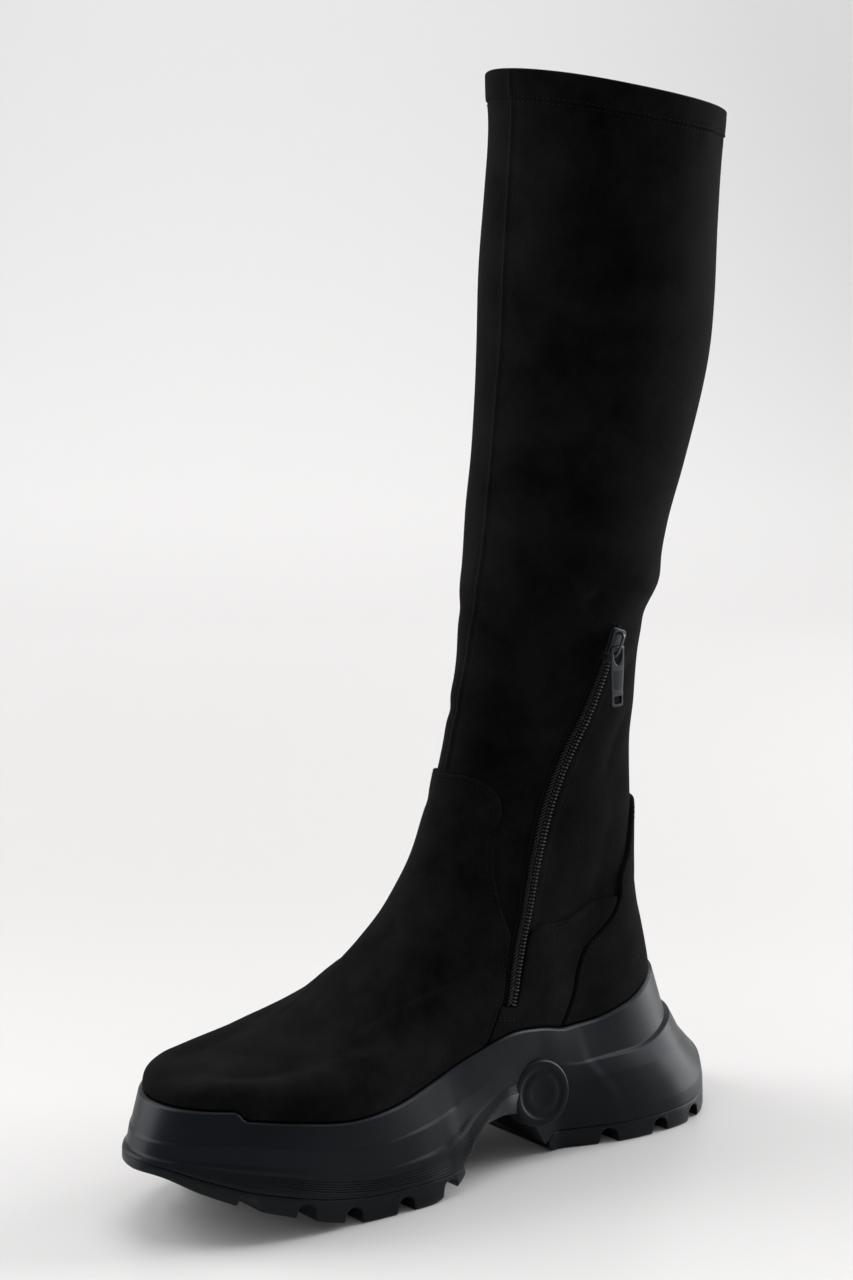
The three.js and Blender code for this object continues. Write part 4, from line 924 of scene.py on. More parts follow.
def upper_relief(skin):
    """Height of the cloth's own shapes over the plain form: seam, hem, folds and soft waves."""
    x, y, z = skin[..., 0], skin[..., 1], skin[..., 2]
    flat = np.stack([y.ravel(), z.ravel()], -1)
    height = np.zeros(x.shape)
    off_seam = np.abs(front_distance)
    seam = seam_proud * bump(off_seam, seam_width) - seam_dent * bump(off_seam - 2.4, 0.8)
    height += np.where(in_front, seam, 0) * smooth((z - 158) / 6)
    band = smooth((hem_height + 1.2 - below_top) / 2.6)
    height += hem_proud * band * (0.75 + 0.25 * bump(below_top - 6, 5))
    height -= hem_dent * bump(below_top - hem_height, 0.8)
    around = np.cumsum(np.linalg.norm(np.diff(skin[-1], axis=0, append=skin[-1][:1]), axis=1))
    pucker = np.sin(around / 2.9) + 0.6 * np.sin(around / 4.7 + 1)
    height += pucker_height * pucker * bump(below_top - hem_height, 4.5)
    height += hem_wave * np.sin(around / 9.5 + z[-1] / 7) * band
    medial = np.tile(medial_columns, (len(skin), 1))
    for line, depth, width, ridge, side in upper_folds:
        away, share = from_line(flat, smooth_line(line))
        ends = smooth(share / 0.22) * smooth((1 - share) / 0.22)
        line_y, line_z = np.array(sorted(line)).T
        above = np.interp(flat[:, 0], line_y, line_z) < flat[:, 1]
        trough = -depth * bump(away, width)
        swell = ridge * bump(away - 2.2 * width, 1.6 * width) * np.where(above, 1, 0.5)
        here = medial if side > 0 else (~medial if side < 0 else np.ones_like(medial))
        height += ((trough + swell) * ends).reshape(x.shape) * here
    behind = smooth((y - 52) / 40)
    height += behind * sum(swell * bump(z - level, width) for swell, level, width in back_swells)
    height += behind * upper_shaft_swell * smooth((z - 285) / 60)
    toe_top = bump(y + 97, 30) * smooth((z - 52) / 10)
    instep = bump(y + 16, 20) * smooth((z - 62) / 14) * smooth((140 - z) / 30)
    ankle_hollow = bump(z - 176, 40) * smooth((42 - y) / 30)
    collar_hollow = smooth((30 - y) / 14) * smooth((16 - below_top) / 12)
    height += instep_lift * instep - toe_top_drop * toe_top - ankle_hollow - collar_hollow
    soft = np.sin(y / 21 + z / 34 + x / 40) * np.sin(z / 27 - x / 25 + 0.7)
    height += wave_height * soft * smooth((z - 120) / 60) * (1 - band)
    return height


# Folds: line from the side, depth, width, ridge beside it, and the side it is on (0 for both)
upper_folds = (
    (calf_fold, 1.1, 2.6, 0.7, 1),
    (((96, 231), (90, 230), (78, 229), (66, 231)), 1.2, 2.4, 0.8, -1),
    (zip_fold, 0.45, 1.6, 0.15, 1),
    (((13, 186), (22, 184), (34, 178), (44, 176)), 0.5, 3.2, 0.4, 0),
    (((18, 232), (26, 229), (38, 222), (50, 220)), 0.35, 4.0, 0.35, 0),
    (((96, 182), (88, 176), (80, 164), (76, 150)), 0.5, 3.5, 0.4, 0),
    (((98, 205), (92, 203), (84, 196), (80, 188)), 0.4, 3.0, 0.35, 0),
    (((6, 153), (14, 147), (24, 136), (30, 122)), 0.35, 3.2, 0.3, 0),
)
upper_height = upper_relief(upper_skin)
upper_face = upper_skin + upper_out * upper_height[..., None]
face_out = grid_normals(upper_face)


def upper_piece():
    """The skin, the rolled edge of the collar, and the lining down to the cup's floor."""
    radius = (hem_proud + wall) / 2
    rim_low = np.searchsorted(-below_top.mean(1), -radius * 0.8)
    outer = list(upper_face[:rim_low])
    base, out = upper_skin[rim_low], upper_out[rim_low]
    up = upper_skin[-1] - upper_skin[-3]
    up /= np.linalg.norm(up, axis=1, keepdims=True)
    lift = below_top[rim_low][:, None] / radius
    seam_lump = (upper_face[rim_low] - base - out * hem_proud) * out
    lump = seam_lump.sum(1, keepdims=True)
    for angle in np.linspace(0, math.pi, 10):
        away = (hem_proud - wall) / 2 + radius * math.cos(angle)
        aside = out * (away + lump * max(0, math.cos(angle / 2)))
        outer.append(base + aside + up * lift * radius * math.sin(angle))
    lining = upper_skin + upper_out * (np.minimum(0, upper_height)[..., None] - wall)
    inner = [lining[k] for k in range(rim_low - 1, -1, -3)]
    if (rim_low - 1) % 3:
        inner.append(lining[0])
    skin = np.array(outer + inner)
    faces = grid_faces(len(skin), column_count, closed_rows=True)
    add_piece(
        "shaft", skin.reshape(-1, 3), faces, [shaft_suede, lining_knit], slot="stretch_suede",
        stands_for=["upper"], inner_from=(len(outer) - 2) * column_count,
    )


upper_piece()

# The upper's face as triangles with outward directions, which panels and the zip are laid on
face_quads = grid_faces(len(upper_face), column_count)
face_tris = np.concatenate([face_quads[:, [0, 1, 2]], face_quads[:, [0, 2, 3]]])
face_points = upper_face.reshape(-1, 3)
face_normals = face_out.reshape(-1, 3)
face_tree = BVHTree.FromPolygons(face_points.tolist(), face_tris.tolist())


def on_upper(flat, side=1, lift=0.0):
    """Points over the upper's face and their outward directions, from places seen from the side."""
    points, outward = [], []
    for y, z in flat:
        spot, _, index, _ = face_tree.ray_cast(Vector((side * 200, y, z)), Vector((-side, 0, 0)))
        corners = face_tris[index]
        corner_sums = np.vstack([face_points[corners].T[1:], np.ones(3)])
        weights = np.linalg.solve(corner_sums, np.array([spot.y, spot.z, 1.0]))
        normal = weights @ face_normals[corners]
        normal /= np.linalg.norm(normal)
        points.append(np.array(spot))
        outward.append(normal)
    points, outward = np.array(points), np.array(outward)
    return points + outward * np.reshape(lift, (-1, 1)), outward


# Panels
def split_at(data, faces, column, level):
    """Splits triangles along one level of a column of their points' data.
    Returns the data, the faces and the edges that lie on the level."""
    value = data[:, column] - level
    value = np.where(np.abs(value) < 1e-5, 1e-5, value)
    high = value[faces] > 0
    count = high.sum(1)
    keep = faces[(count == 0) | (count == 3)]
    cut = faces[(count == 1) | (count == 2)]
    if not len(cut):
        return data, faces, np.zeros((0, 2), int)
    high = value[cut] > 0
    alone = np.where(high.sum(1) == 1, high.argmax(1), (~high).argmax(1))
    row = np.arange(len(cut))
    a, b, c = (cut[row, (alone + k) % 3] for k in range(3))
    pairs = np.concatenate([np.stack([a, b], -1), np.stack([a, c], -1)])
    ordered = np.sort(pairs, 1)
    unique, index = np.unique(ordered, axis=0, return_inverse=True)
    index = index.ravel()
    first, second = unique.T
    t = value[first] / (value[first] - value[second])
    fresh = data[first] + (data[second] - data[first]) * t[:, None]
    p = len(data) + index[: len(cut)]
    q = len(data) + index[len(cut):]
    made = np.concatenate([np.stack(f, -1) for f in ((a, p, q), (p, b, c), (p, c, q))])
    return np.vstack([data, fresh]), np.concatenate([keep, made]), np.stack([p, q], -1)


def chain_edges(edges):
    """Lines of point numbers from loose edges."""
    near = {}
    for a, b in edges:
        near.setdefault(int(a), []).append(int(b))
        near.setdefault(int(b), []).append(int(a))
    seen, lines = set(), []
    starts = [k for k in near if len(near[k]) == 1] + list(near)
    for start in starts:
        if start in seen:
            continue
        line = [start]
        seen.add(start)
        while True:
            onward = [k for k in near[line[-1]] if k not in seen]
            if not onward:
                break
            line.append(onward[0])
            seen.add(onward[0])
        if len(line) > 3:
            lines.append(line)
    return lines


panel_top = row_marks[2 + foot_rows]
stitch_lines = []


def panel(name, medial_outline, lateral_outline, thickness, node, stitched=(stitch_inset,)):
    """Raised suede panel with rounded edges, cut from the upper's face to an outline on each side.
    The columns of data are place, direction, distance inside the outline, height over the rim and
    the lesser of the last two."""
    rows = panel_top + 4
    points = upper_face[:rows].reshape(-1, 3)
    normals = face_out[:rows].reshape(-1, 3)
    medial = points[:, 0] >= bend(points[:, 1])
    inside = np.full(len(points), -1000.0)
    for outline, here in ((medial_outline, medial), (lateral_outline, ~medial)):
        if outline is not None:
            inside[here] = inside_by(points[here][:, 1:], outline)
    over_rim = points[:, 2] - rim_height(last_share(points[:, 1])) - clearance
    least = np.minimum(inside, over_rim)
    data = np.column_stack([points, normals, inside, over_rim, least])
    faces = face_tris[(face_tris < len(points)).all(1)]
    faces = faces[(data[faces, 8] > -4).any(1) & (np.abs(data[faces, 6]) < 500).all(1)]
    for depth in stitched:
        lined, _, edges = split_at(data, faces, 6, depth)
        edges = edges[(lined[edges, 7] > 1.5).all(1)]
        for line in chain_edges(edges):
            lift = overlay_gap + thickness - 0.02
            stitch_lines.append((lined[line, :3] + lined[line, 3:6] * lift, lined[line, 3:6]))
    levels = [0.0, 0.07, 0.25, 0.55, 1.0]
    for depth in stitched:
        levels += [depth - 0.7, depth - 0.25, depth + 0.25, depth + 0.7]
    for level in sorted(levels):
        data, faces, _ = split_at(data, faces, 8, level)
    faces = faces[data[faces, 8].mean(1) > 0]
    used, faces = np.unique(faces, return_inverse=True)
    faces = faces.reshape(-1, 3)
    data = data[used]
    depth = np.clip(data[:, 8], 0, 1)
    rise = np.sqrt(np.clip(1 - (1 - depth) ** 2, 0, 1))
    dent = sum(stitch_dent * bump(data[:, 6] - inset, 0.5) for inset in stitched)
    swell = panel_swell * bump(data[:, 6] - 1.3, 1.0)
    height = mix(0.12, overlay_gap + thickness, rise) - dent + swell * depth
    top = data[:, :3] + data[:, 3:6] * height[:, None]
    under = data[:, :3] + data[:, 3:6] * 0.1
    count = len(data)
    ordered = np.sort(np.concatenate([faces[:, [0, 1]], faces[:, [1, 2]], faces[:, [2, 0]]]), 1)
    unique, times = np.unique(ordered, axis=0, return_counts=True)
    border = unique[times == 1]
    sides = np.column_stack([border[:, 0], border[:, 1], border[:, 1] + count, border[:, 0] + count])
    all_faces = [*faces, *(faces[:, ::-1] + count), *sides]
    points = np.vstack([top, under])
    add_piece(name, points, all_faces, [panel_suede], slot="panel_suede", stands_for=[node])


floor_line = -1.0
vamp_line = smooth_line(side_points(vamp_edge)[1:])
reach_front = last_toe_y - 20
head = np.vstack([[[reach_front, floor_line], [reach_front, vamp_line[0][1]]], vamp_line])
medial_seam_line = smooth_line(side_points(medial_seam))
lateral_seam_line = smooth_line(side_points(lateral_seam))
beside_zip = tape_width / 2 + overlay_gap
vamp_medial = np.vstack([
    head, zip_line(np.linspace(vamp_zip_end, 0, 12), -beside_zip), medial_seam_line,
    [[medial_seam_line[-1][0], floor_line]],
])
vamp_lateral = np.vstack([head, lateral_seam_line, [[lateral_seam_line[-1][0], floor_line]]])
panel("vamp", vamp_medial, vamp_lateral, vamp_thickness, "vamp_panel")

counter_line = smooth_line(side_points(counter_edge))
reach_back = -last_toe_y + 40
counter_outline = np.vstack([
    [[reach_back, counter_line[0][1]]], counter_line,
    [[counter_line[-1][0], floor_line], [reach_back, floor_line]],
])
panel("counter", counter_outline, counter_outline, counter_thickness, "counter_panel", stitched=(2.2,))

low_counter = counter_line[counter_line[:, 1] <= platform_height + 0.5 * instep_rise] - [overlay_gap, 0]
quarter_rise = smooth_line(side_points(quarter_top))
under_zip = zip_line([0, 0], [beside_zip, -beside_zip]) - [0.3, 0.7]
quarter_seam = medial_seam_line + [overlay_gap, 0]
quarter_medial = np.vstack([
    zip_line(np.linspace(0, quarter_zip_end, 12), beside_zip), quarter_rise, low_counter,
    [[low_counter[-1][0], floor_line], [quarter_seam[-1][0], floor_line]], quarter_seam[::-1],
    [under_zip[1], under_zip[0]],
])
panel("quarter_medial_panel", quarter_medial, None, quarter_thickness, "quarter_medial", stitched=())
quarter_side = np.vstack([vamp_line[-1:], lateral_seam_line]) + [overlay_gap, 0]
quarter_lateral = np.vstack([
    quarter_rise, low_counter, [[low_counter[-1][0], floor_line], [quarter_side[-1][0], floor_line]],
    quarter_side[1:][::-1], [[quarter_side[0][0], quarter_rise[0][1]]],
])
panel("quarter_lateral_panel", None, quarter_lateral, quarter_thickness, "quarter_lateral", stitched=())
for side in (1, -1):
    below_edge = quarter_rise + [1.2, -2.3]
    stitch_lines.append(on_upper(below_edge, side, overlay_gap + quarter_thickness))
for drop in (0.9, 2.2):
    bar = np.linspace((9.8, 66.4 - drop), (20.6, 63.2 - drop), 8)
    stitch_lines.append(on_upper(bar, 1, overlay_gap + quarter_thickness))

# Stitches down the front seam, round the hem and beside the zip
seam_start = panel_top + 4
seam_end = np.searchsorted(-below_top[:, 0], -0.5)
for side in (1, -1):
    line, outward = [], []
    for k in range(seam_start, seam_end, 2):
        column = np.argmin(np.abs(front_distance[k] - side * 2.9) + 100 * ~in_front[k])
        line.append(upper_face[k, column] + face_out[k, column] * 0.05)
        outward.append(face_out[k, column])
    stitch_lines.append((np.array(line), np.array(outward)))

for drop in (0.2, 2.4):
    hem_row = np.searchsorted(-below_top.mean(1), -(hem_height - 1.2 + drop))
    ring = np.arange(column_count + 1) % column_count
    outward = face_out[hem_row][ring]
    stitch_lines.append((upper_face[hem_row][ring] + outward * 0.08, outward))

stitch_sizes = {"Pitch": 2.3, "Length": 1.7, "Width": 0.46, "Height": 0.4, "Turn": 8}
add_rows("stitches", stitch_lines, stitch_sizes, thread)


# Zip
def zip_strip(shares, profile):
    """Closed band along the zip: profile rows are (across, height) over the upper's face."""
    rings = []
    for share in shares:
        section = profile(share) if callable(profile) else profile
        flat = zip_line(np.full(len(section), share), [row[0] for row in section])
        rings.append(on_upper(flat, 1, [row[1] for row in section])[0])
    return ring_mesh(np.array(rings))


def band_section(width, low, high):
    """Flat band section with rounded corners."""
    half = width / 2
    turn = min(0.25, (high - low) / 2)
    across = np.linspace(-half, half, 5)
    top = [(x, high) for x in across[1:-1]]
    bottom = [(x, low) for x in across[1:-1][::-1]]
    return [
        (-half, low + turn), (-half, high - turn), (turn - half, high), *top, (half - turn, high),
        (half, high - turn), (half, low + turn), (half - turn, low), *bottom, (turn - half, low),
    ]


zip_shares = np.linspace(0, 1, 120)
add_piece(
    "tape", *zip_strip(zip_shares, band_section(tape_width, overlay_gap, overlay_gap + tape_thickness)),
    [tape_weave], slot="zip_tape", stands_for=["zip_tape"],
)
chain_base = overlay_gap + tape_thickness + clearance
chain_shares = np.linspace(0, chain_end, 110)
bed_section = band_section(chain_width - 0.5, overlay_gap + tape_thickness, chain_base + 0.5)
add_piece("coil_bed", *zip_strip(chain_shares, bed_section), [coil_bed], slot="zip_coil")

# Teeth: place across the chain, lift, shape, and the piece they stand for
for name, across, lift, length, width, height, turn, stands_for in (
    ("teeth_front", -0.235, 0.62, 3.7, 0.5, 1.3, -42, ["zip_chain"]),
    ("teeth_back", 0.29, 0.62, 2.3, 0.62, 1.2, -80, ["zip_chain"]),
    ("teeth_middle", 0, 1.2, 1.0, 0.55, 0.6, 60, []),
):
    flat = zip_line(np.linspace(chain_start, chain_end, 260), across * chain_width)
    sizes = {"Pitch": 1.5, "Length": length, "Width": width, "Height": height, "Turn": turn}
    add_rows(name, [on_upper(flat, 1, chain_base + lift)], sizes, coil_nylon, stands_for)

# Cloth folded back along both sides of the zip
fold_shares = np.linspace(0.11, 1.035, 150)


def fold_section(share, side):
    """Section of the fold: it stands beside the chain, and both folds close over the zip's top."""
    inner = mix(chain_width / 2 + fold_gap, 0.15, smooth((share - 0.985) / 0.05))
    high = mix(fold_height, fold_height_at_top, smooth((share - 0.97) / 0.06))
    rows = [
        (0.15, 0.05), (0, 0.4 * high), (0.12, 0.8 * high), (0.5, high), (1.1, 0.97 * high),
        (1.9, 0.8 * high), (2.9, 0.48 * high), (4.2, 0.1 * high), (5.4, -0.12), (3.0, -0.35),
    ]
    return [(side * (inner + across), height) for across, height in rows]


for side, name in ((-1, "zip_fold_front"), (1, "zip_fold_back")):
    strip = zip_strip(fold_shares, lambda share: fold_section(share, side))
    add_piece(name, *strip, [shaft_suede], slot="stretch_suede")


# Slider and pull
def rounded_outline(points, radius, steps=5):
    """Closed outline with rounded corners."""
    points = np.asarray(points, float)
    made = []
    for before, corner, after in zip(np.roll(points, 1, 0), points, np.roll(points, -1, 0)):
        a, b = before - corner, after - corner
        reach_a = min(radius, 0.45 * np.linalg.norm(a))
        reach_b = min(radius, 0.45 * np.linalg.norm(b))
        start = corner + a / np.linalg.norm(a) * reach_a
        end = corner + b / np.linalg.norm(b) * reach_b
        for t in np.linspace(0, 1, steps):
            made.append((1 - t) ** 2 * start + 2 * t * (1 - t) * corner + t * t * end)
    return np.array(made)


def plate(outlines, thickness, edge, place):
    """Plate with holes and rounded edges, as points and faces; place turns and moves it."""
    shape = bpy.data.curves.new("plate", "CURVE")
    shape.dimensions = "2D"
    shape.fill_mode = "BOTH"
    shape.extrude = thickness / 2 - edge
    shape.bevel_depth = edge
    shape.bevel_resolution = 3
    shape.offset = -edge
    for outline in outlines:
        spline = shape.splines.new("POLY")
        spline.points.add(len(outline) - 1)
        flat = np.column_stack([outline, np.zeros(len(outline)), np.ones(len(outline))])
        spline.points.foreach_set("co", flat.ravel())
        spline.use_cyclic_u = True
    mesh = made_mesh(in_scene("plate", shape))
    points = np.array([place @ v.co for v in mesh.vertices])
    faces = [list(face.vertices) for face in mesh.polygons]
    bpy.data.meshes.remove(mesh)
    return points, faces


def joined(parts):
    """Several shapes as one list of points and faces."""
    points, faces, start = [], [], 0
    for part_points, part_faces in parts:
        points.append(part_points)
        faces += [[start + i for i in face] for face in part_faces]
        start += len(part_points)
    return np.vstack(points), faces


def frame_at(origin, x_axis, y_axis, z_axis):
    turn = Matrix((x_axis, y_axis, z_axis)).transposed().to_4x4()
    return Matrix.Translation(Vector(origin)) @ turn


def even_outline(points, radius):
    """Rounded outline from its right half."""
    return rounded_outline([*points, *[(-x, y) for x, y in points[::-1]]], radius)


cad_axis = frame["joints"][0]
hinge = np.array(cad_axis["pos_m"]) * 1000 - to_frame
low, high = on_upper(zip_line([0.93, 1.0], [0, 0]))[0]
along = (high - low) / np.linalg.norm(high - low)
middle = zip_line([slider_at], [0])[0]
half_width = slider_width / 2
sides = on_upper([
    (middle[0] + half_width * along[2], middle[1] - half_width * along[1]),
    (middle[0] - half_width * along[2], middle[1] + half_width * along[1]),
])[0]
outward = np.cross(sides[0] - sides[1], along)
outward /= np.linalg.norm(outward)
across = np.cross(along, outward)
slider_base = chain_base + 0.25
slider_top = slider_base + slider_height
bar_at = -0.22 * bridge_span
slider_origin = hinge - outward * (slider_top + tunnel_height / 2) - along * bar_at


def slider_part(outline, low, high, edge):
    place = frame_at(slider_origin + outward * (low + high) / 2, across, along, outward)
    return plate([outline], high - low, edge, place)


half_long = slider_length / 2
slider_outline = even_outline([
    (0.60 * half_width, -half_long), (0.84 * half_width, -0.80 * half_long),
    (0.84 * half_width, 0.1 * half_long), (half_width, 0.45 * half_long),
    (half_width, 0.8 * half_long), (0.64 * half_width, half_long),
], 1.4)
bridge_outer_x = bridge_span / 2 + bridge_bar
bridge_outer_y = tunnel_height + bridge_bar


def arch(x, y):
    return [(-x, 0.55 * y), (-0.76 * x, y), (0.76 * x, y), (x, 0.55 * y)]


inner_x = bridge_outer_x - bridge_bar
bridge_outline = rounded_outline([
    (-bridge_outer_x, -0.5), *arch(bridge_outer_x, bridge_outer_y), (bridge_outer_x, -0.5),
    (inner_x, -0.5), *arch(inner_x, tunnel_height)[::-1], (-inner_x, -0.5),
], 0.9)
bridge_place = frame_at(slider_origin + outward * slider_top, along, outward, across)
bridge = plate([bridge_outline], bridge_width, 0.3, bridge_place)
slider_parts = [
    slider_part(slider_outline, slider_base, slider_base + slider_low_plate, 0.35),
    slider_part(slider_outline, slider_top - slider_top_plate, slider_top, 0.42),
    slider_part(slider_outline * [0.3, 0.4] + [0, 0.5 * half_long], slider_base + 0.5, slider_top - 0.5, 0.1),
]
body_faces = sum(len(part[1]) for part in slider_parts)
add_piece(
    "slider", *joined([*slider_parts, bridge]), [slider_metal_and_pull_shade, zip_metal], slot="zip_metal",
    stands_for=["zip_slider"], inner_from=body_faces,
)

# The pull hangs from its bar; its plate faces the medial side
head_half = pull_width / 2
foot_half = pull_foot_width / 2
foot_top = pull_foot_length - pull_length
window_half = pull_window_width / 2
pull_outline = even_outline([
    (foot_half, -pull_length), (foot_half, foot_top),
    (head_half, -pull_window_length - 1.5), (head_half, 0.4),
], 1.2)
pull_window = even_outline([
    (0.25 * window_half, -pull_window_length), (window_half, -0.6 * pull_window_length),
    (window_half, -pull_bar / 4),
], 1.0)
hole_low = 1.3 - pull_length
hole_half = pull_hole_width / 2 + 0.35
pull_hole = even_outline([
    (hole_half, hole_low - 0.1), (hole_half, hole_low + pull_hole_length + 0.2),
], 0.5)
hanging = frame_at(hinge, (0, 1, 0), (0, 0, 1), (1, 0, 0))
foot_pad = even_outline([(foot_half - 0.1, 0.1 - pull_length), (foot_half - 0.1, foot_top - 0.2)], 0.9)
bar_sides = 20
bar_turns = np.linspace(0, 2 * math.pi, bar_sides, endpoint=False)
bar_ring = np.stack([np.cos(bar_turns), 0 * bar_turns, np.sin(bar_turns)], -1) * pull_bar / 2
bar = ring_mesh(np.array([hinge + bar_ring + [0, end * head_half * 0.96, 0] for end in (-1, 1)]))
# A darker plate laid over the pull's face, inset from its rim, is painted shade; the lighter rim round it
# stands as a painted highlight on the bevelled edges.
pull_shade_plate = even_outline([
    (foot_half - 0.75, foot_top + 0.7), (head_half - 0.85, -pull_window_length - 2.2),
], 0.6)
pull_parts = [
    plate([pull_outline, pull_window, pull_hole], pull_thickness, 0.3, hanging),
    plate([foot_pad, pull_hole], pull_thickness + 0.35, 0.15, hanging),
    bar,
]
faces_before_shade_plate = sum(len(part[1]) for part in pull_parts)
add_piece(
    "pull_tab", *joined([*pull_parts, plate([pull_shade_plate], pull_thickness + 0.06, 0.05, hanging)]),
    [zip_metal, slider_metal_and_pull_shade], body="pull", slot="zip_metal", stands_for=["zip_pull"], inner_from=faces_before_shade_plate,
)

# Sole
groove_steps = np.array([-1.25, -1.10, -1.0, -0.985, -0.93, -0.82, -0.65, -0.45, -0.22, 0])
groove_steps = np.concatenate([groove_steps, -groove_steps[:-1][::-1]]) * groove_width / 2
sole_turns = np.linspace(0, 1, 150)
sole_shares = [(1 - np.cos(np.pi * sole_turns)) / 2, np.linspace(0.37, 0.68, 60)]
sole_shares += [along_sole + groove_steps / sole_length for along_sole in groove_table["along"]]
sole_shares += [np.array([forefoot_span[1], heel_span[0]])]
sole_shares += [np.array([end - 0.0012, end, end + 0.0012]) for span in channel_spans for end in span]
sole_shares = np.unique(np.round(np.concatenate(sole_shares), 6))
sole_shares = sole_shares[np.concatenate([[True], np.diff(sole_shares) > 0.00025])]
sole_shares[-1] = 1.0


def outline_point(s, side):
    """Points of the outsole's outline."""
    column = "medial" if side > 0 else "lateral"
    rows = {
        "along": np.concatenate([outline_table["along"], heel_outline_table["along"]]),
        "half": np.concatenate([
            outline_table[column] * forefoot_width / 2, heel_outline_table[column] * heel_width / 2,
        ]),
    }
    y = sole_toe_y + s * sole_length
    return np.stack([bend(y) + side * through(rows, "half", s) * round_end(s, 2.2), y, 0 * y], -1)


sole_outline = loop_of(sole_shares, outline_point)
rim_loop = loop_of(sole_shares, lambda s, side: row_point(upper_rows[1], s, side))
floor_loop = loop_of(sole_shares, lambda s, side: row_point(upper_rows[0], s, side))
rim_outline = offset_in_plan(rim_loop, cup_gap + lip_thickness)


def sole_share(y):
    return np.clip((y - sole_toe_y) / sole_length, 0, 1)


def side_height(column, y):
    return platform_height * through(side_table, column, sole_share(y))


def flare(column, y):
    return through(flare_table, column, sole_share(y))


def side_loop(reach, height, grow=0.0):
    """Loop on the side of the sole: how far out it has flared, how high it is and how far it is raised."""
    loop = mix(rim_outline, sole_outline, reach[:, None])
    y = mix(rim_outline[:, 1], sole_outline[:, 1], reach)
    loop[:, 2] = height(y) if callable(height) else height
    return offset_in_plan(loop, grow * np.ones(len(loop)))


def rounded_stack(loops, radius):
    """Rounds the marked corners of a stack of loops by four levels each; rows are (loop, is a corner)."""
    made = []
    for k, (loop, corner) in enumerate(loops):
        if not corner or k in (0, len(loops) - 1):
            made.append(loop)
            continue
        before, after = loops[k - 1][0] - loop, loops[k + 1][0] - loop
        long_a = np.linalg.norm(before, axis=1, keepdims=True) + 1e-9
        long_b = np.linalg.norm(after, axis=1, keepdims=True) + 1e-9
        start = loop + before / long_a * np.minimum(radius, 0.42 * long_a)
        end = loop + after / long_b * np.minimum(radius, 0.42 * long_b)
        for t in (0, 0.33, 0.67, 1):
            made.append((1 - t) ** 2 * start + 2 * t * (1 - t) * loop + t * t * end)
    return np.array(made)


rim_y = rim_outline[:, 1]


def midsole_piece():
    rib_top = flare("rib_top", rim_y)
    rib_reach = mix(rib_top, 1, 0.75)
    ribs = flare("ribs", rim_y)
    lip_z = rim_loop[:, 2] - clearance
    loops = [
        (side_loop(mix(rib_top, 1, 0.9), lambda y: side_height("part", y)), True),
        (side_loop(mix(rib_top, 1, 0.89), lambda y: side_height("part", y) + 0.3), True),
    ]
    for t in np.arange(rib_count * loops_per_rib + 1) / (rib_count * loops_per_rib):
        hollow = (1 - abs(math.sin(math.pi * t * rib_count))) ** 1.6 if 0 < t < 1 else 0
        loop = side_loop(
            mix(rib_reach, rib_top, t),
            lambda y: mix(side_height("rib_end", y), side_height("rib_top", y), t),
            -rib_depth * hollow * ribs,
        )
        loops.append((loop, False))
    for above, width, step in (("above2", "width2", "step2"), ("above1", "width1", "step1")):
        stepped = smooth(flare(width, rim_y) / 0.05)
        low_reach = flare(above, rim_y) + flare(width, rim_y) + 0.025 * (1 - stepped)
        loops.append((side_loop(low_reach, lambda y: side_height(step, y) - step_drop, 0.12 * stepped), True))
        loops.append((side_loop(flare(above, rim_y), lambda y: side_height(step, y)), True))
    loops.append((side_loop(np.full(len(rim_y), 0.03), lip_z - lip_round), True))
    top = offset_in_plan(rim_loop, cup_gap + lip_thickness - lip_round)
    top[:, 2] = lip_z
    inner = offset_in_plan(rim_loop, cup_gap)
    inner[:, 2] = lip_z
    floor = offset_in_plan(floor_loop, cup_gap)
    floor[:, 2] -= floor_gap
    loops += [(top, True), (inner, True), (floor, False)]
    stack = rounded_stack(loops, corner_round)
    sides = stack[:-6]
    across = np.stack([offset_in_plan(loop, 1) - loop for loop in sides])
    flat = sides[..., 1:].reshape(-1, 2)
    away, share = from_line(flat, smooth_line(shank_line))
    line_y, line_z = np.array(shank_line[::-1]).T
    line = np.interp(flat[:, 1], line_z, line_y)
    ends = smooth(share / 0.15) * smooth((1 - share) / 0.12)
    raised = shank_raise * smooth((line - flat[:, 0] + 0.4) / 0.8) * bump(away, 9) * ends
    groove = shank_groove * bump(away - 0.3, 0.5) * ends
    sides += across * (raised - groove).reshape(sides.shape[:2])[..., None]
    add_piece(
        "midsole_body", *joined([stack_mesh(stack), disc_shape(sole_toe_y + disc_along * sole_length)]),
        [midsole_foam], slot="midsole_foam", stands_for=["midsole"],
    )


def disc_shape(y):
    """Plain round boss with a raised ring and a dished middle."""
    radius = disc_diameter / 2
    corners = [
        (radius + 0.1, -6), (radius, disc_proud - 0.9), (radius - 0.8, disc_proud),
        (radius - 2.9, disc_proud), (radius - 4.2, disc_proud - 0.6), (radius * 0.62, disc_proud - 0.65),
        (radius * 0.56, disc_proud - 0.45), (radius * 0.42, disc_proud - 0.5),
        (radius * 0.3, disc_proud - 0.85),
    ]
    profile = [corners[0], *rounded_outline(corners, 0.55, 4)[4:-4], corners[-1], (0, disc_proud - 1.0)]
    normal = Vector((1, -0.10, 0.14)).normalized()
    turn = normal.to_track_quat("Z", "Y").to_matrix().to_4x4()
    place = Matrix.Translation((37, y, disc_up * platform_height)) @ turn
    count = 72
    angles = np.linspace(0, 2 * math.pi, count, endpoint=False)
    rings = [[place @ Vector((r * math.cos(a), r * math.sin(a), h)) for a in angles] for r, h in profile]
    points = np.array(rings).reshape(-1, 3)
    return points, [*grid_faces(len(profile), count), np.arange(count)]


midsole_piece()


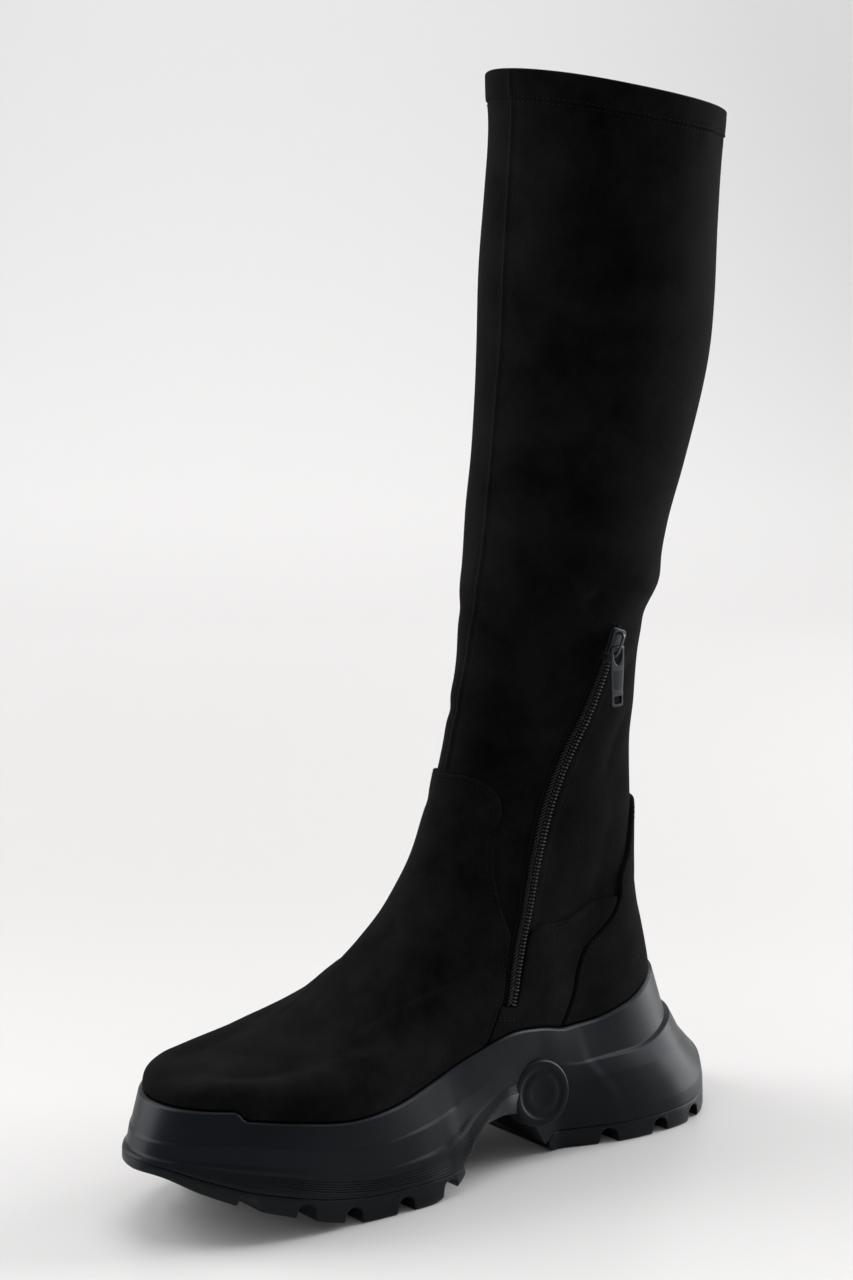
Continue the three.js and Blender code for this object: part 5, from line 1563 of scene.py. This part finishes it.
def tread_height(y, x):
    """Height of the outsole's underside: lower edge, arched grooves and the middle channel."""
    base = side_height("edge", y)
    z = base
    for groove_at, share in zip(groove_table["along"], groove_table["height"]):
        away = np.abs(y - sole_toe_y - groove_at * sole_length) / (groove_width / 2)
        wall_part = np.interp(away, [0, 0.985, 1.0, 1.10, 1.25], [0.45, 0.45, 0.40, 0.03, 0])
        arch_part = 0.55 * np.sqrt(np.clip(1 - away**2, 0, 1))
        top = side_height("edge", sole_toe_y + groove_at * sole_length) + groove_height * share
        z = np.maximum(z, base + (top - base) * (wall_part + arch_part))
    share = sole_share(y)
    for start, end in channel_spans:
        along_channel = np.clip(np.minimum(share - start, end - share) / 0.0012 + 0.5, 0, 1)
        across_channel = np.clip((channel_width / 2 + channel_edge - np.abs(x)) / (2 * channel_edge), 0, 1)
        z = np.maximum(z, base + channel_height * along_channel * across_channel)
    return z


# Places across the underside, from the channel's edges outwards
half_channel = channel_width / 2
under_places = np.array([half_channel - channel_edge, half_channel + channel_edge, 12])
under_places = [*-under_places[::-1], 0, *under_places]

# Wall of the tread: share of its height and how far it stands in
tread_wall = ((0, 0.8), (0.05, 0.35), (0.14, 0.05), (0.3, 0), (0.6, 0), (0.94, 0), (1, 0.25))


def outsole_piece(name, span, node):
    """Lugged outsole as rings across the sole, one at each share of its length."""
    here = np.where((sole_shares >= span[0] - 1e-6) & (sole_shares <= span[1] + 1e-6))[0]
    rib_top = flare("rib_top", rim_y)
    low = side_loop(np.ones(len(rim_y)), 0.0)
    high = side_loop(mix(rib_top, 1, 0.92), lambda y: side_height("part", y) - clearance)
    count = len(low)
    rings = []
    for i in here:
        ring = []
        for side, j in ((1, i), (-1, (count - i) % count)):
            bottom, top = low[j], high[j]
            ground = tread_height(bottom[1], 99)
            wall_points = []
            for share, inset in tread_wall:
                point = mix(bottom, top, share)
                point[0] -= side * min(inset, abs(point[0] - bend(point[1])))
                point[2] = mix(ground, max(top[2], ground + 0.5), share)
                wall_points.append(point)
            ring.append(wall_points)
        medial, lateral = ring
        edge_m, edge_l = medial[0], lateral[0]
        under = []
        for x in under_places:
            centre = bend(edge_m[1])
            place = min(max(centre + x, edge_l[0] + 0.01), edge_m[0] - 0.01)
            under.append(np.array([place, edge_m[1], tread_height(edge_m[1], place - centre)]))
        rings.append([*medial, *lateral[::-1], *under])
    points, faces = ring_mesh(np.array(rings))
    add_piece(name, points, faces, [outsole_rubber], slot="outsole_rubber", stands_for=[node])


outsole_piece("forefoot_tread", forefoot_span, "outsole_forefoot")
outsole_piece("heel_tread", heel_span, "outsole_heel")

# Insole
insole_inset = wall + 2 * clearance + 0.25
insole_edge = (
    (0.4, 0), (0, 0.5), (0, insole_thickness - 1.2), (0.5, insole_thickness - 0.3), (1.4, insole_thickness),
)
insole_loops = []
for inset, lift in insole_edge:
    loop = offset_in_plan(floor_loop, -insole_inset - inset)
    loop[:, 2] += lift
    insole_loops.append(loop)
add_piece(
    "sock", *stack_mesh(np.array(insole_loops)), [insole_cloth], slot="insole_textile", stands_for=["insole"],
)

# Camera
azimuth, pitch = math.radians(51), math.radians(11)
camera_data = bpy.data.cameras.new("camera")
camera_data.lens = 84.375
camera_data.sensor_width = 36
camera = in_scene("camera", camera_data)
camera.location = (0.92378, -0.74604, 0.44742)
view = Vector((-math.sin(azimuth) * math.cos(pitch), math.cos(azimuth) * math.cos(pitch), -math.sin(pitch)))
camera.rotation_euler = view.to_track_quat("-Z", "Y").to_euler()
bpy.context.scene.camera = camera

# Floor that sweeps up into a backdrop behind the boot
level_view = Vector((view.x, view.y, 0)).normalized()
aside = Vector((-level_view.y, level_view.x, 0))
level_end, curve_radius, backdrop_top = 1.2, 1.0, 5.0
sweep = [(-12.0, 0.0), (level_end, 0.0)]
for angle in np.linspace(0.08, math.pi / 2, 16):
    sweep.append((level_end + curve_radius * math.sin(angle), curve_radius - math.cos(angle)))
sweep.append((level_end + curve_radius, backdrop_top))
floor_points = []
for distance, up in sweep:
    for reach in (-5, 5):
        floor_points.append(level_view * distance + aside * reach + Vector((0, 0, up)))
floor_mesh = bpy.data.meshes.new("floor")
strips = [(2 * k, 2 * k + 1, 2 * k + 3, 2 * k + 2) for k in range(len(sweep) - 1)]
floor_mesh.from_pydata(floor_points, [], strips)
for face in floor_mesh.polygons:
    face.use_smooth = True
paper = make_material(
    "backdrop paper", "moulded", (0.80, 0.79, 0.785), (0.82, 0.81, 0.805), (0.32, 0.36), 0.0,
    sizes={"Clouds": 1.2, "Grain": 300.0}, uniform={"Specular IOR Level": 0.30},
)
paper_tree = paper.node_tree
paper_place = paper_tree.nodes.new("ShaderNodeTexCoord").outputs["Object"]


def paper_reach(direction):
    """How far a place on the paper lies in one direction."""
    node = add_node(paper_tree, "ShaderNodeVectorMath", operation="DOT_PRODUCT")
    paper_tree.links.new(paper_place, node.inputs[0])
    node.inputs[1].default_value = direction
    return node.outputs["Value"]


# Painted light and shade: the paper's colour is darkest just behind the boot, under the lamps, and lighter
# towards the camera and up the backdrop, where less lamp light falls; it is also a little darker on the right
# lamp's side.
behind_boot = add_node(paper_tree, "ShaderNodeMapRange", From_Min=-0.4, From_Max=2.4)
paper_tree.links.new(paper_reach(level_view), behind_boot.inputs[0])
painted_light_ramp = paper_tree.nodes.new("ShaderNodeValToRGB")
paper_tree.links.new(behind_boot.outputs[0], painted_light_ramp.inputs[0])
painted_light_levels = ((0.0, 0.66), (0.25, 0.58), (0.46, 0.54), (0.80, 0.60), (1.1, 0.71), (1.5, 0.88))
for reach, shade in painted_light_levels:
    stop = painted_light_ramp.color_ramp.elements.new((reach + 0.4) / 2.8)
    stop.color = (shade, 0.985 * shade, 0.978 * shade, 1)
painted_light_ramp.color_ramp.elements[0].color = (0.76, 0.75, 0.745, 1)
painted_light_ramp.color_ramp.elements[-1].color = (0.98, 0.965, 0.958, 1)
painted_light_ramp.color_ramp.interpolation = "B_SPLINE"
side_painted_shade = add_node(paper_tree, "ShaderNodeMapRange", From_Min=-0.4, From_Max=0.4, To_Min=0.97, To_Max=1.0)
paper_tree.links.new(paper_reach(aside), side_painted_shade.inputs[0])
painted_light_colour = add_node(
    paper_tree, "ShaderNodeVectorMath", operation="SCALE", Vector=painted_light_ramp.outputs[0], Scale=side_painted_shade.outputs[0]
)
paper_tree.links.new(painted_light_colour.outputs[0], paper_tree.nodes["Principled BSDF"].inputs["Base Color"])
floor_mesh.materials.append(paper)
in_scene("floor", floor_mesh)

# Soft studio light
world = bpy.data.worlds.new("studio")
world.use_nodes = True
sky = world.node_tree.nodes["Background"].inputs
sky["Color"].default_value = (0.97, 0.985, 1.0, 1)
sky["Strength"].default_value = 0.42
bpy.context.scene.world = world


lit = Vector((0.02, 0.0, 0.2))


def softbox(name, left, back, up, size, power):
    """Soft lamp turned to the boot; its place is given in metres from the boot's middle."""
    data = bpy.data.lights.new(name, "AREA")
    data.shape = "RECTANGLE"
    data.size, data.size_y = size
    data.energy = power
    lamp = in_scene(name, data)
    offset = aside * left + level_view * back + Vector((0, 0, up))
    lamp.location = lit + offset
    lamp.rotation_euler = (-offset).to_track_quat("-Z", "Y").to_euler()


softbox("left box", 1.3, 0.3, 0.6, (0.9, 1.5), 20)
softbox("right box", -1.1, 0.55, 0.3, (0.8, 1.4), 24)
softbox("top box", 0, 0.3, 1.9, (1.6, 1.6), 21)

bpy.context.scene.view_settings.view_transform = "Standard"
